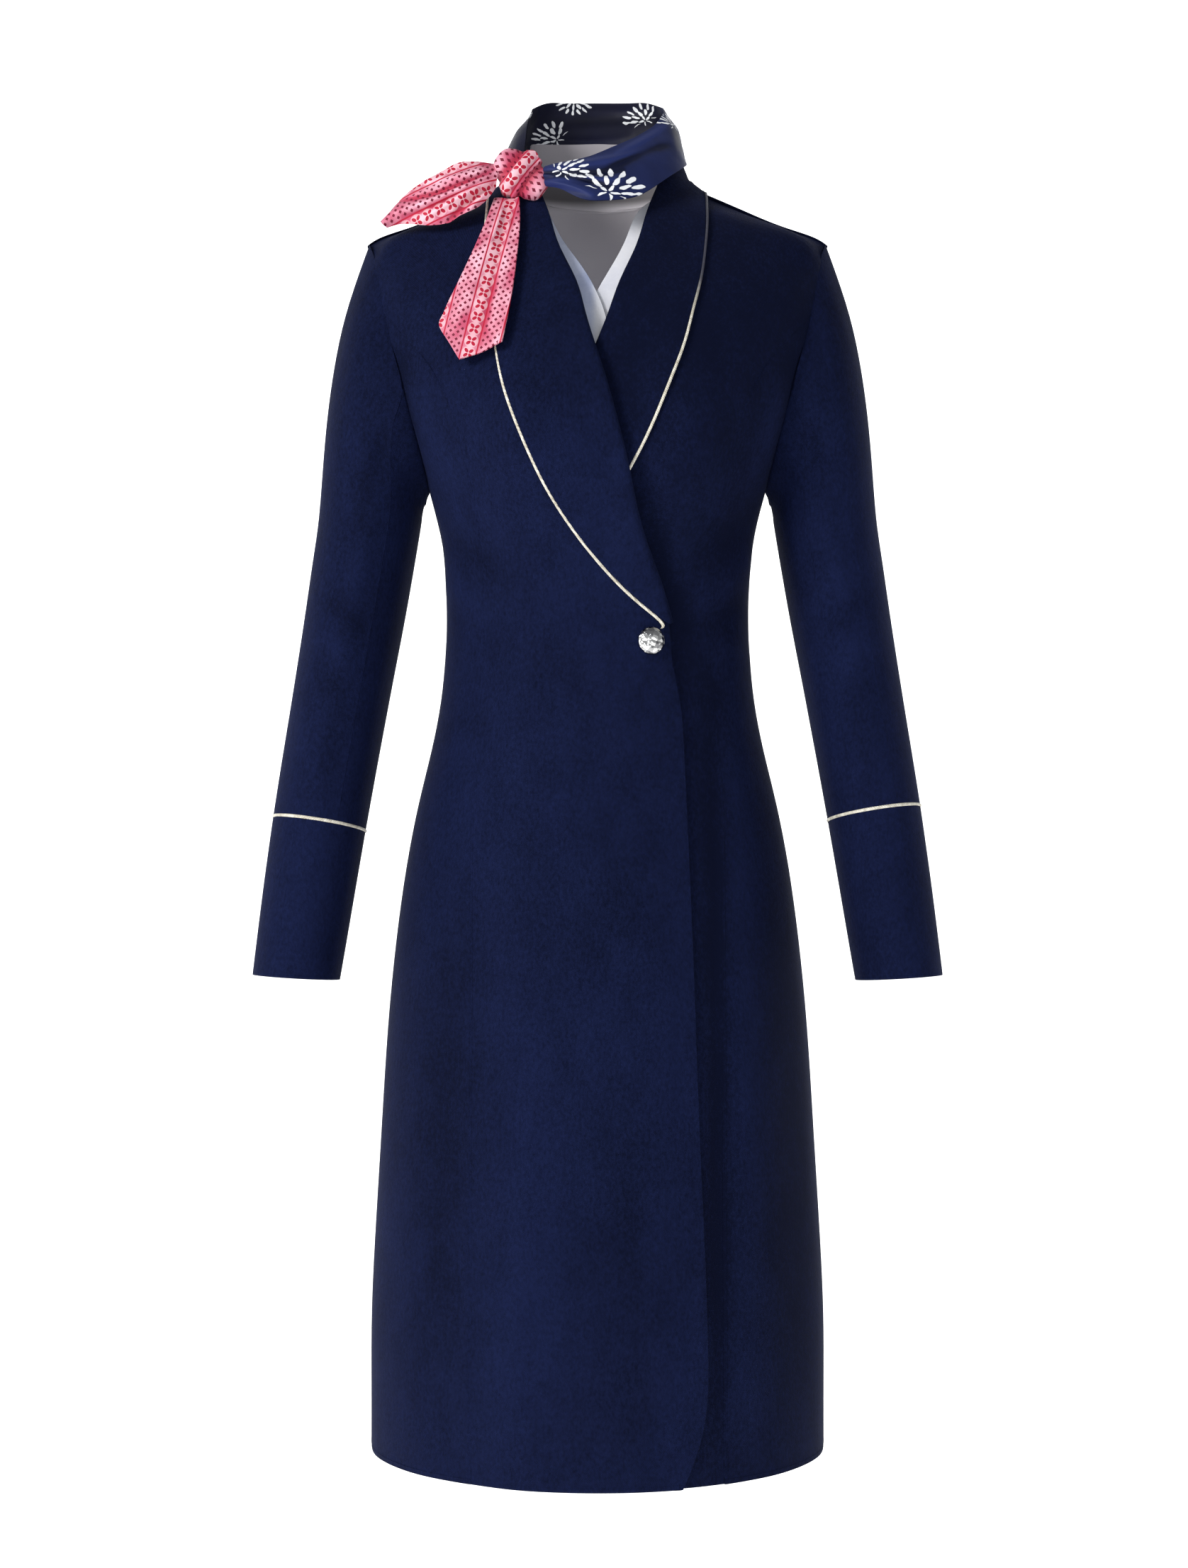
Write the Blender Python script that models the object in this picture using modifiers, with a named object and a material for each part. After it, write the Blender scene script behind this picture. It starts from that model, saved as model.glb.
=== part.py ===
"""A cabin uniform: a navy coat, the pale blouse under it and a knotted neck scarf.

Every cloth piece is a thin wall that follows one worn form.  The form is a stack of
sections read from BODY_SECTIONS, so a place on it is an angle (0 at the centre front,
90 at the wearer's left side, 180 at the centre back) and a height.  The origin is the
middle of the neck, level with the top of the shoulder seams.  +X is the wearer's left,
-Y the front and +Z up.  Sizes are in millimetres; add_mesh() writes metres.
"""

import math
from collections import namedtuple

import bmesh
import bpy
from mathutils import Vector

# ---------------------------------------------------------------- driving sizes

MM = 0.001
COAT_WALL = 2.6
BLOUSE_WALL = 1.2
SCARF_WALL = 1.4
SEAM_GAP = 0.3          # between two pieces that are sewn together
ARMHOLE_GAP = 0.6       # between the sleeve head and the coat's armhole
LAPEL_LIFT = 1.2        # air between a lapel and the front under it
RIGHT_FRONT_PROUD = 3.8     # the right front lies over the left one
LEFT_FRONT_SUNK = 4.8       # the left front sinks under the right one, with its lapel
BLOUSE_DEPTH = 5.5          # from the coat's outer face to the blouse's
BLOUSE_FRONT_EXTRA = 6.2    # the blouse also clears the sunk left front
PIPING_RADIUS = 1.3
CUFF_PIPING_RADIUS = 1.4
BUTTON_RADIUS = 11.2
BUTTON_HEIGHT = 6.5
SHANK_RADIUS = 2.4
BUTTONHOLE_LENGTH = 14.0
BUTTONHOLE_SHIFT = 3.0      # the hole runs on past the shank, away from the front edge
BUTTON_OUT, BUTTON_PLACE_HEIGHT = 42.0, -392.0

# ---------------------------------------------------------------- the worn form

Section = namedtuple("Section", "height half_width middle front back fullness")
BODY_SECTIONS = (
    Section(10, 48, 12, 12, 28, 2.0),
    Section(0, 72, 12, 20, 36, 2.0),        # neck point
    Section(-15, 107, 11, 37, 50, 2.05),
    Section(-32, 147, 11, 56, 66, 2.1),
    Section(-52, 195, 9, 69, 78, 2.2),      # shoulder tip
    Section(-78, 198, 7, 85, 88, 2.25),
    Section(-104, 196, 5, 98, 95, 2.3),
    Section(-142, 188, 3, 112, 100, 2.3),
    Section(-195, 172, 0, 122, 102, 2.3),
    Section(-222, 158, 0, 124, 101, 2.25),
    Section(-262, 142, -2, 122, 96, 2.15),  # underarm
    Section(-320, 129.3, -2, 108, 92, 2.1),
    Section(-370, 127.3, -2, 98, 89, 2.05),  # waist
    Section(-441, 132.6, -2, 101, 100, 2.0),
    Section(-519, 150, -1, 110, 114, 2.0),
    Section(-581, 162, 0, 120, 124, 2.0),   # hip
    Section(-692, 175.5, 0, 133, 134, 2.0),
    Section(-824, 184, 0, 143, 141, 2.0),
    Section(-965, 191, 0, 151, 147, 2.0),
    Section(-1062, 191.2, 0, 155, 150, 2.0),  # hem
    Section(-1080, 191.2, 0, 156, 151, 2.0),
)
BUST_OUT, BUST_HEIGHT = 84.0, -232.0
BUST_RISE, BUST_SPREAD_OUT, BUST_SPREAD_UP = 13.0, 48.0, 60.0

# Rows of the coat's cloth, from the shoulder (row 0) to the hem.  "inner" is the height on
# the neck, roll line or front edge, "princess" on the armhole and the princess seam,
# "side" on the side panel's armhole and the side seam, "back" on the centre back.
Row = namedtuple("Row", "inner princess side back")
ROWS = (
    Row(0, -52, -52, -14),
    Row(-14, -68, -70, -34),
    Row(-32, -85, -89, -56),
    Row(-54, -101, -108, -78),
    Row(-78, -117, -117, -101),     # the princess seam leaves the armhole
    Row(-102, -121, -118.6, -124),
    Row(-130, -137, -135, -147),
    Row(-160, -158, -158, -170),
    Row(-191, -184, -184, -193),
    Row(-222, -213, -211, -216),
    Row(-253, -244, -239, -240),
    Row(-284, -276, -263, -265),    # underarm
    Row(-314, -306, -298, -298),
    Row(-345, -338, -334, -334),
    Row(-376, -370, -370, -370),    # the lapels end, just above the button
    Row(-404, -400, -400, -400),
    Row(-440, -438, -438, -438),
    Row(-480, -480, -480, -480),
    Row(-525, -525, -525, -525),
    Row(-578, -578, -578, -578),
    Row(-640, -640, -640, -640),
    Row(-712, -712, -712, -712),
    Row(-790, -790, -790, -790),
    Row(-872, -872, -872, -872),
    Row(-950, -950, -950, -950),
    Row(-1016, -1016, -1016, -1016),
    Row(-1062, -1062, -1062, -1062),
)
PRINCESS_ROW, UNDERARM_ROW, BREAK_ROW, HEM_ROW = 4, 11, 14, len(ROWS) - 1
BACK_ARMHOLE_HEIGHTS = (-52, -70, -89, -108, -127, -146, -165, -184, -203, -222, -243, -263)
FRONT_COLUMNS, SIDE_COLUMNS = 7, 5
NECK_COLUMNS, SHOULDER_COLUMNS = 4, 7
BACK_NECK_HEIGHT = -14.0

# How far out from the middle each edge lies, by height, seen from the front.
Out = namedtuple("Out", "height out")
ARMHOLE = (
    Out(-52, 195), Out(-71, 187), Out(-98, 181), Out(-127, 175), Out(-152, 168.5),
    Out(-175, 163), Out(-203, 155.5), Out(-228, 149), Out(-250, 144), Out(-263, 141.6),
)
PRINCESS = (
    Out(-117, 177.4), Out(-128, 171), Out(-145, 153), Out(-167, 138), Out(-195, 123),
    Out(-221, 113), Out(-246, 108), Out(-271, 102), Out(-296, 98), Out(-324, 94.5),
    Out(-370, 93), Out(-443, 95), Out(-501, 101), Out(-569, 103), Out(-1062, 103),
)
NECK = (Out(0, 72), Out(-14, 69.5), Out(-32, 63), Out(-54, 51.5), Out(-78, 37), Out(-102, 22.5))

# The front edges.  A minus sign is past the middle, on the other half of the body.
Edge = namedtuple("Edge", "height right left")
FRONT_EDGE = (
    Edge(-102, 22.5, 22.5), Edge(-130, 15.5, 12.5), Edge(-160, 7, 0), Edge(-191, -3, -10),
    Edge(-222, -11.5, -19), Edge(-253, -19, -28), Edge(-284, -25.5, -36),
    Edge(-314, -34, -44), Edge(-345, -46, -51), Edge(-376, -55.5, -57), Edge(-404, -57, -58),
    Edge(-440, -64, -59), Edge(-480, -67, -60), Edge(-525, -69, -60), Edge(-640, -73.5, -60),
    Edge(-790, -78.5, -60), Edge(-872, -82, -60), Edge(-950, -84.5, -60),
    Edge(-1016, -82, -57), Edge(-1062, -66, -42),
)

# The outer edges of the two lapels at the rows above, then four stations round the back of
# the neck.  "swell" is the spare height of the soft roll.
Lapel = namedtuple("Lapel", "row right_out right_height left_out left_height right_swell left_swell")
LAPELS = (
    Lapel(14, -50, -374.5, -52, -374.5, 0.6, 0.2),
    Lapel(13, -27, -354, -34, -352, 1.5, 0.2),
    Lapel(12, -1, -326, -15, -326, 2.2, 0.2),
    Lapel(11, 19, -300, 3, -296, 2.6, 0.2),
    Lapel(10, 37, -273, 18, -266, 3.0, 0.2),
    Lapel(9, 51, -247, 33, -238, 3.0, 0.2),
    Lapel(8, 63, -219, 46, -210, 3.0, 0.2),
    Lapel(7, 73, -190, 58, -180, 3.0, 0.3),
    Lapel(6, 79, -160, 68, -152, 3.0, 1.0),
    Lapel(5, 84, -129, 75, -124, 3.0, 2.0),
    Lapel(4, 88, -99, 82, -97, 3.0, 3.0),
    Lapel(3, 90, -70, 86, -70, 3.0, 3.0),
    Lapel(2, 90.5, -45, 88.5, -46, 3.0, 3.0),
    Lapel(1, 90, -25, 89, -26, 3.0, 3.0),
    Lapel(0, 88.5, -7.1, 88, -7, 3.0, 3.0),
)

# Where the collar folds over beside and behind the neck, and how far the fall stands off
# the neck seam.  Stations count on from the shoulder seam to the centre back.
Crest = namedtuple("Crest", "station out forward up clear edge_out edge_height")
CRESTS = (
    Crest(4, 32.5, 71, -73, 3.9, None, None),
    Crest(3, 41, 53, -46, 4.2, None, None),
    Crest(2, 49, 30, -20, 4.8, None, None),
    Crest(1, 56, 10, 3, 6.5, None, None),
    Crest(0, 62.5, -9, 21.5, 9.0, None, None),
    Crest(-1, 61, -34, 25, 11.0, 82, -17),
    Crest(-2, 48.5, -50, 22, 12.0, 64, -25),
    Crest(-3, 27, -59, 20, 13.0, 35, -30),
    Crest(-4, 0, -62, 19, 13.0, 0, -32),
)
CREST_RADIUS = 3.2
FALL_STEPS = (0.07, 0.2, 0.4, 0.6, 0.8, 1.0)

# The sleeve below the underarm: its middle and its half sizes, for the wearer's left arm.
SleeveSection = namedtuple("SleeveSection", "height out forward half_width half_depth")
SLEEVE_SECTIONS = (
    SleeveSection(-285, 192.8, -4, 43.3, 57),
    SleeveSection(-350, 202.6, -1, 42.2, 56),
    SleeveSection(-430, 215.6, 6, 40.6, 53.5),
    SleeveSection(-534, 232.4, 17, 39.2, 51),
    SleeveSection(-600, 242.0, 24, 38.0, 49.5),
    SleeveSection(-666, 251.0, 31, 36.4, 48),
)
SLEEVE_HEIGHTS = (-285, -325, -368, -412, -456, -496)
CAP_ROWS = 5
CUFF_TOPS = {"left": -532.0, "right": -541.0}
CUFF_BOTTOM = -666.0
CUFF_ROWS = 3
FRONT_SEAM_ROW, BACK_SEAM_ROW = 8, 8    # armhole rows where the under sleeve starts
SEAM_ROUND = math.radians(118)          # from the top of the arm round to a sleeve seam

# ---------------------------------------------------------------- curves and the form


def smooth_values(rows, key, name):
    """Return a function that reads one column of a table smoothly, without overshoot."""
    points = sorted((getattr(row, key), getattr(row, name)) for row in rows)
    keys = [point[0] for point in points]
    values = [point[1] for point in points]
    steps = [keys[i + 1] - keys[i] for i in range(len(keys) - 1)]
    slopes = [(values[i + 1] - values[i]) / steps[i] for i in range(len(steps))]
    tangents = [slopes[0]]
    for i in range(1, len(slopes)):
        if slopes[i - 1] * slopes[i] <= 0:
            tangents.append(0.0)
        else:
            before = 2 * steps[i] + steps[i - 1]
            after = steps[i] + 2 * steps[i - 1]
            tangents.append((before + after) / (before / slopes[i - 1] + after / slopes[i]))
    tangents.append(slopes[-1])

    def read(key_value):
        key_value = min(max(key_value, keys[0]), keys[-1])
        i = 0
        while i < len(steps) - 1 and key_value > keys[i + 1]:
            i += 1
        t = (key_value - keys[i]) / steps[i]
        start = (2 * t ** 3 - 3 * t ** 2 + 1) * values[i]
        start_pull = (t ** 3 - 2 * t ** 2 + t) * steps[i] * tangents[i]
        end = (3 * t ** 2 - 2 * t ** 3) * values[i + 1]
        end_pull = (t ** 3 - t ** 2) * steps[i] * tangents[i + 1]
        return start + start_pull + end + end_pull

    return read


def mix(first, second, share):
    return first + (second - first) * share


def ease(value, start, end):
    """0 at start, 1 at end, with soft ends."""
    t = min(max((value - start) / (end - start), 0.0), 1.0)
    return t * t * (3 - 2 * t)


half_width_at = smooth_values(BODY_SECTIONS, "height", "half_width")
middle_at = smooth_values(BODY_SECTIONS, "height", "middle")
front_at = smooth_values(BODY_SECTIONS, "height", "front")
back_at = smooth_values(BODY_SECTIONS, "height", "back")
fullness_at = smooth_values(BODY_SECTIONS, "height", "fullness")
armhole_out = smooth_values(ARMHOLE, "height", "out")
princess_out = smooth_values(PRINCESS, "height", "out")
neck_out = smooth_values(NECK, "height", "out")
edge_out = {
    "right": smooth_values(FRONT_EDGE, "height", "right"),
    "left": smooth_values(FRONT_EDGE, "height", "left"),
}


def form_point(angle, height):
    """The coat's outer face, for the wearer's left half; the other half mirrors it."""
    power = 2.0 / fullness_at(height)
    across = math.sin(angle)
    ahead = math.cos(angle)
    x = half_width_at(height) * math.copysign(abs(across) ** power, across)
    depth = front_at(height) if ahead > 0 else back_at(height)
    y = middle_at(height) - depth * math.copysign(abs(ahead) ** power, ahead)
    if ahead > 0:
        reach = ((abs(x) - BUST_OUT) / BUST_SPREAD_OUT) ** 2
        rise = ((height - BUST_HEIGHT) / BUST_SPREAD_UP) ** 2
        y -= BUST_RISE * ahead * math.exp(-reach - rise)
    return Vector((x, y, height))


def form_normal(angle, height):
    turn = 0.01
    climb = 0.6
    around = form_point(angle + turn, height) - form_point(angle - turn, height)
    upward = form_point(angle, height + climb) - form_point(angle, height - climb)
    return around.cross(upward).normalized()


def angle_of(out, height, behind=False):
    """The angle at which the form is this far out from the middle."""
    share = min(abs(out) / half_width_at(height), 1.0)
    angle = math.asin(share ** (fullness_at(height) / 2.0))
    if behind:
        return math.pi - angle
    return math.copysign(angle, out)


def coat_depth(side, angle, height):
    """How deep the coat's outer face lies under the form; the right front stands proud."""
    if math.cos(angle) <= 0:
        return 0.0
    out = form_point(angle, height).x
    if side == "right":
        return -RIGHT_FRONT_PROUD * ease(out, 98, 64) * ease(height, -105, -165)
    window = ease(height, -110, -160) * ease(height, -440, -385)
    return LEFT_FRONT_SUNK * ease(out, 70, 30) * window


def on_coat(side, place, proud=0.0):
    """A point on the coat, or above it, at a place (angle, height) of its own half."""
    angle, height = place
    lift = proud - coat_depth(side, angle, height)
    return form_point(angle, height) + form_normal(angle, height) * lift


def mirrored(point):
    return Vector((-point.x, point.y, point.z))


# ---------------------------------------------------------------- walls and meshes


def add_mesh(name, points, faces, material, collection):
    """Make an object from points in millimetres, with every face turned outward."""
    mesh = bpy.data.meshes.new(name)
    mesh.from_pydata([point * MM for point in points], [], faces)
    shape = bmesh.new()
    shape.from_mesh(mesh)
    bmesh.ops.recalc_face_normals(shape, faces=shape.faces)
    shape.to_mesh(mesh)
    shape.free()
    mesh.materials.append(material)
    mesh.shade_smooth()
    mesh.set_sharp_from_angle(angle=math.radians(40))
    thing = bpy.data.objects.new(name, mesh)
    collection.objects.link(thing)
    return thing


def wall_faces(rows, columns, closed=False):
    """Faces of a wall whose outer points come first and its inner points after them."""
    count = rows * columns
    faces = []
    last = columns if closed else columns - 1
    for i in range(rows - 1):
        for j in range(last):
            k = (j + 1) % columns
            outer = (i * columns + j, i * columns + k, (i + 1) * columns + k, (i + 1) * columns + j)
            faces.append(outer)
            faces.append(tuple(count + index for index in reversed(outer)))
    for i in (0, rows - 1):
        for j in range(last):
            k = (j + 1) % columns
            faces.append((i * columns + j, i * columns + k, count + i * columns + k, count + i * columns + j))
    if not closed:
        for j in (0, columns - 1):
            for i in range(rows - 1):
                low = i * columns + j
                high = (i + 1) * columns + j
                faces.append((low, high, count + high, count + low))
    return faces


def add_wall(name, outer, inner, material, collection, closed=False):
    """A closed wall between two grids of points."""
    points = [point for row in outer for point in row]
    points += [point for row in inner for point in row]
    faces = wall_faces(len(outer), len(outer[0]), closed)
    return add_mesh(name, points, faces, material, collection)


def grid_normals(grid, closed=False):
    """A normal at each point of a grid, from its neighbours."""
    rows = len(grid)
    columns = len(grid[0])
    normals = []
    for i in range(rows):
        line = []
        for j in range(columns):
            if closed:
                after, before = (j + 1) % columns, (j - 1) % columns
            else:
                after, before = min(j + 1, columns - 1), max(j - 1, 0)
            along = grid[i][after] - grid[i][before]
            down = grid[min(i + 1, rows - 1)][j] - grid[max(i - 1, 0)][j]
            line.append(along.cross(down).normalized())
        normals.append(line)
    return normals


def wall_round_middle(grid, thickness, closed=False):
    """Outer and inner grids half a thickness to each side of a middle grid."""
    normals = grid_normals(grid, closed)
    half = thickness / 2.0
    outer = [[p + n * half for p, n in zip(a, b)] for a, b in zip(grid, normals)]
    inner = [[p - n * half for p, n in zip(a, b)] for a, b in zip(grid, normals)]
    return outer, inner


def smooth_line(points, count):
    """Even samples of a smooth curve through the points given."""
    samples = []
    spans = len(points) - 1
    for step in range(count):
        where = step / (count - 1) * spans
        i = min(int(where), spans - 1)
        t = where - i
        here, there = points[i], points[i + 1]
        start = points[i - 1] if i > 0 else here * 2 - there
        end = points[i + 2] if i + 2 <= spans else there * 2 - here
        samples.append(
            (here * 2 + (there - start) * t
             + (start * 2 - here * 5 + there * 4 - end) * t ** 2
             + (here * 3 - start - there * 3 + end) * t ** 3) * 0.5
        )
    return samples


# ---------------------------------------------------------------- seams


def seam_offsets(places, side):
    """Unit steps across a seam, in the form's face, for a seam given as places."""
    points = [on_coat(side, place) for place in places]
    steps = []
    for i, place in enumerate(places):
        along = points[min(i + 1, len(points) - 1)] - points[max(i - 1, 0)]
        steps.append(form_normal(*place).cross(along).normalized())
    return steps


def inner_place(side, row):
    height = ROWS[row].inner
    if row <= 5:
        return angle_of(neck_out(height), height) if row else math.pi / 2, height
    return angle_of(edge_out[side](height), height), height


def princess_place(row):
    height = ROWS[row].princess
    if row == 0:
        return math.pi / 2, height
    out = armhole_out(height) if row <= PRINCESS_ROW else princess_out(height)
    return angle_of(out, height), height


def side_place(row):
    height = ROWS[row].side
    if row >= UNDERARM_ROW:
        return math.pi / 2, height
    return angle_of(armhole_out(height), height), height


def back_armhole_place(row):
    height = BACK_ARMHOLE_HEIGHTS[row]
    if row in (0, UNDERARM_ROW):
        return math.pi / 2, height
    return angle_of(armhole_out(height), height, behind=True), height


def back_neck_place(share):
    """From the centre back (0) to the neck point (1)."""
    if share >= 1:
        return math.pi / 2, 0.0
    height = BACK_NECK_HEIGHT * (1 - share ** 2)
    return angle_of(NECK[0].out * math.sin(share * math.pi / 2), height, behind=True), height


def armhole_places():
    """The armhole from the shoulder down the front, then from the shoulder down the back."""
    front = [princess_place(row) for row in range(PRINCESS_ROW + 1)]
    front += [side_place(row) for row in range(PRINCESS_ROW + 1, UNDERARM_ROW + 1)]
    back = [back_armhole_place(row) for row in range(UNDERARM_ROW + 1)]
    return front, back


def mix_places(first, second, share):
    return mix(first[0], second[0], share), mix(first[1], second[1], share)


# ---------------------------------------------------------------- the coat's panels


def panel_grids(side, places):
    outer = [[on_coat(side, place) for place in row] for row in places]
    inner = [
        [point - form_normal(*place) * COAT_WALL for point, place in zip(points, row)]
        for points, row in zip(outer, places)
    ]
    return outer, inner


def move_edge(grids, spots, steps, amount):
    """Step the edge points at the given spots aside, in both faces of a wall."""
    for (i, j), step in zip(spots, steps):
        for grid in grids:
            grid[i][j] = grid[i][j] + step * amount


def finish_panel(name, grids, side, material, collection):
    if side == "right":
        grids = [[[mirrored(point) for point in row] for row in grid] for grid in grids]
    return add_wall(name, grids[0], grids[1], material, collection)


class Armhole:
    """The seam between a coat half and its sleeve, with a mitre at each of its points."""

    def __init__(self):
        front, back = armhole_places()
        self.places = front + back[-2:0:-1]
        self.points = [form_point(*place) for place in self.places]
        self.front_count = len(front)
        self.rounds = self.ring_angles()
        self.middle_grid = self.sleeve_grid()
        normals = grid_normals(self.middle_grid, closed=True)
        self.sleeve_normals = [[n if n.dot(p - self.axis_near(p)) > 0 else -n for p, n in zip(a, b)]
                               for a, b in zip(self.middle_grid, normals)]
        self.mitres = []
        self.steps = []
        count = len(self.points)
        for k, place in enumerate(self.places):
            body = form_normal(*place)
            lean = (body + self.sleeve_normals[0][k]).normalized()
            self.mitres.append(lean * COAT_WALL * min(1.0 / max(lean.dot(body), 0.1), 1.5))
            along = self.points[(k + 1) % count] - self.points[k - 1]
            step = along.cross(lean).normalized()
            away = self.middle_grid[1][k] - self.middle_grid[0][k]
            self.steps.append(step if step.dot(away) > 0 else -step)

    def ring_angles(self):
        """Turn each armhole point into an angle round the arm, 0 at the top."""
        count = len(self.points)
        rounds = [0.0] * count
        for sign, seam_row in ((1, FRONT_SEAM_ROW), (-1, BACK_SEAM_ROW)):
            order = [(sign * row) % count for row in range(UNDERARM_ROW + 1)]
            lengths = [0.0]
            for a, b in zip(order, order[1:]):
                lengths.append(lengths[-1] + (self.points[b] - self.points[a]).length)
            for row, k in enumerate(order[1:], 1):
                if row <= seam_row:
                    turn = SEAM_ROUND * lengths[row] / lengths[seam_row]
                else:
                    share = (lengths[row] - lengths[seam_row]) / (lengths[-1] - lengths[seam_row])
                    turn = mix(SEAM_ROUND, math.pi, share)
                rounds[k] = sign * turn
        return rounds

    def axis_near(self, point):
        height = min(point.z, SLEEVE_SECTIONS[0].height)
        return Vector((sleeve_out(height), -sleeve_forward(height), point.z))

    def sleeve_grid(self):
        """Outer points of the sleeve, from the armhole down to above the cuff."""
        first = sleeve_ring(SLEEVE_HEIGHTS[0], self.rounds)
        grid = []
        for step in range(CAP_ROWS):
            share = step / CAP_ROWS
            row = []
            for point, end, turn in zip(self.points, first, self.rounds):
                reach = (end - point).length
                bulge = Vector((0.2 + 0.1 * abs(math.sin(turn)), -0.2 * math.sin(turn), 0))
                leave = ((end - point).normalized() + bulge).normalized()
                row.append(bezier(point, point + leave * reach * 0.38,
                                  end - sleeve_axis(SLEEVE_HEIGHTS[0]) * reach * 0.38, end, share))
            grid.append(row)
        grid += [sleeve_ring(height, self.rounds) for height in SLEEVE_HEIGHTS]
        return grid


def bezier(a, b, c, d, t):
    s = 1 - t
    return a * s ** 3 + b * 3 * s * s * t + c * 3 * s * t * t + d * t ** 3


sleeve_out = smooth_values(SLEEVE_SECTIONS, "height", "out")
sleeve_forward = smooth_values(SLEEVE_SECTIONS, "height", "forward")
sleeve_half_width = smooth_values(SLEEVE_SECTIONS, "height", "half_width")
sleeve_half_depth = smooth_values(SLEEVE_SECTIONS, "height", "half_depth")


def sleeve_axis(height):
    climb = 4.0
    run = sleeve_out(height + climb) - sleeve_out(height - climb)
    ahead = sleeve_forward(height + climb) - sleeve_forward(height - climb)
    return Vector((-run, ahead, -2 * climb)).normalized()


def sleeve_ring(height, rounds, grow=0.0):
    """Points round the arm, square to it; 0 is the outer side and 90 degrees the front."""
    axis = sleeve_axis(height)
    ahead = (Vector((0, -1, 0)) - axis * axis.dot(Vector((0, -1, 0)))).normalized()
    outward = axis.cross(ahead).normalized()
    if outward.x < 0:
        outward = -outward
    middle = Vector((sleeve_out(height), -sleeve_forward(height), height))
    wide = sleeve_half_width(height) + grow
    deep = sleeve_half_depth(height) + grow
    return [middle + outward * wide * math.cos(turn) + ahead * deep * math.sin(turn) for turn in rounds]


def front_center(side, armhole, material, collection):
    places = []
    for row in range(HEM_ROW + 1):
        inner, outer = inner_place(side, row), princess_place(row)
        places.append([mix_places(inner, outer, j / FRONT_COLUMNS) for j in range(FRONT_COLUMNS + 1)])
    places[0] = [(math.pi / 2, ROWS[0].princess * j / FRONT_COLUMNS) for j in range(FRONT_COLUMNS + 1)]
    grids = panel_grids(side, places)
    last = FRONT_COLUMNS
    for row in range(PRINCESS_ROW + 1):
        grids[1][row][last] = grids[0][row][last] - armhole.mitres[row]
    move_edge(grids, [(row, last) for row in range(PRINCESS_ROW + 1)], armhole.steps, -ARMHOLE_GAP / 2)
    seam = [princess_place(row) for row in range(PRINCESS_ROW, HEM_ROW + 1)]
    steps = seam_offsets(seam, side)
    spots = [(row, last) for row in range(PRINCESS_ROW + 1, HEM_ROW + 1)]
    move_edge(grids, spots, steps[1:], -SEAM_GAP / 2)
    ahead = [Vector((0, -1, 0))] * (last + 1)
    move_edge(grids, [(0, j) for j in range(last + 1)], ahead, SEAM_GAP / 2)
    return finish_panel("coat_front_%s_center" % side, grids, side, material, collection)


def front_side(side, armhole, material, collection):
    top = PRINCESS_ROW + 1
    rows = range(top, HEM_ROW + 1)
    places = []
    for row in rows:
        inner, outer = princess_place(row), side_place(row)
        places.append([mix_places(inner, outer, j / SIDE_COLUMNS) for j in range(SIDE_COLUMNS + 1)])
    grids = panel_grids(side, places)
    last = SIDE_COLUMNS
    seam = [princess_place(row) for row in range(PRINCESS_ROW, HEM_ROW + 1)]
    steps = seam_offsets(seam, side)[1:]
    move_edge(grids, [(row - top, 0) for row in rows], steps, SEAM_GAP / 2)
    arm_rows = range(top, UNDERARM_ROW + 1)
    for row in arm_rows:
        grids[1][row - top][last] = grids[0][row - top][last] - armhole.mitres[row]
    spots = [(row - top, last) for row in arm_rows]
    move_edge(grids, spots, armhole.steps[top:UNDERARM_ROW + 1], -ARMHOLE_GAP / 2)
    below = range(UNDERARM_ROW, HEM_ROW + 1)
    move_edge(grids, [(row - top, last) for row in below], [Vector((0, -1, 0))] * len(below), SEAM_GAP / 2)
    return finish_panel("coat_front_%s_side" % side, grids, side, material, collection)


def back_places(top_row, middles, edges, fade_rows):
    """Rows of a back, from its centre to its edge, which start like top_row and turn even."""
    last = len(top_row) - 1
    outs = [form_point(*place).x for place in top_row]
    heights = [place[1] for place in top_row]
    places = [top_row]
    for row in range(1, len(middles)):
        fade = max(1 - row / fade_rows, 0.0) ** 1.5
        edge_angle, edge_height = edges[row]
        edge_reach = form_point(*edges[row]).x
        line = []
        for j in range(last):
            share = j / last
            angle = mix(math.pi, edge_angle, share)
            height = mix(middles[row], edge_height, share)
            if fade > 0:
                climb = (heights[j] - heights[0]) / (heights[last] - heights[0])
                height = mix(middles[row], edge_height, mix(share, climb, fade))
                angle = mix(angle, angle_of(edge_reach * outs[j] / outs[last], height, True), fade)
            line.append((angle, height))
        places.append(line + [edges[row]])
    return places


def back_half(side, armhole, material, collection):
    columns = NECK_COLUMNS + SHOULDER_COLUMNS
    top_row = [back_neck_place(j / NECK_COLUMNS) for j in range(NECK_COLUMNS)]
    top_row += [(math.pi / 2, ROWS[0].princess * j / SHOULDER_COLUMNS) for j in range(SHOULDER_COLUMNS + 1)]
    middles = [row.back for row in ROWS]
    edges = [back_armhole_place(row) if row <= UNDERARM_ROW else side_place(row) for row in range(HEM_ROW + 1)]
    places = back_places(top_row, middles, edges, 9)
    grids = panel_grids(side, places)
    count = len(armhole.points)
    for row in range(UNDERARM_ROW + 1):
        k = -row % count
        grids[1][row][columns] = grids[0][row][columns] - armhole.mitres[k]
        move_edge(grids, [(row, columns)], [armhole.steps[k]], -ARMHOLE_GAP / 2)
    back = Vector((0, 1, 0))
    below = range(UNDERARM_ROW, HEM_ROW + 1)
    move_edge(grids, [(row, columns) for row in below], [back] * len(below), SEAM_GAP / 2)
    spots = [(0, j) for j in range(NECK_COLUMNS, columns + 1)]
    move_edge(grids, spots, [back] * len(spots), SEAM_GAP / 2)
    for grid in grids:
        for line in grid:
            line[0].x = SEAM_GAP / 2
    return finish_panel("coat_back_%s" % side, grids, side, material, collection)


# ---------------------------------------------------------------- sleeves and cuffs


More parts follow.
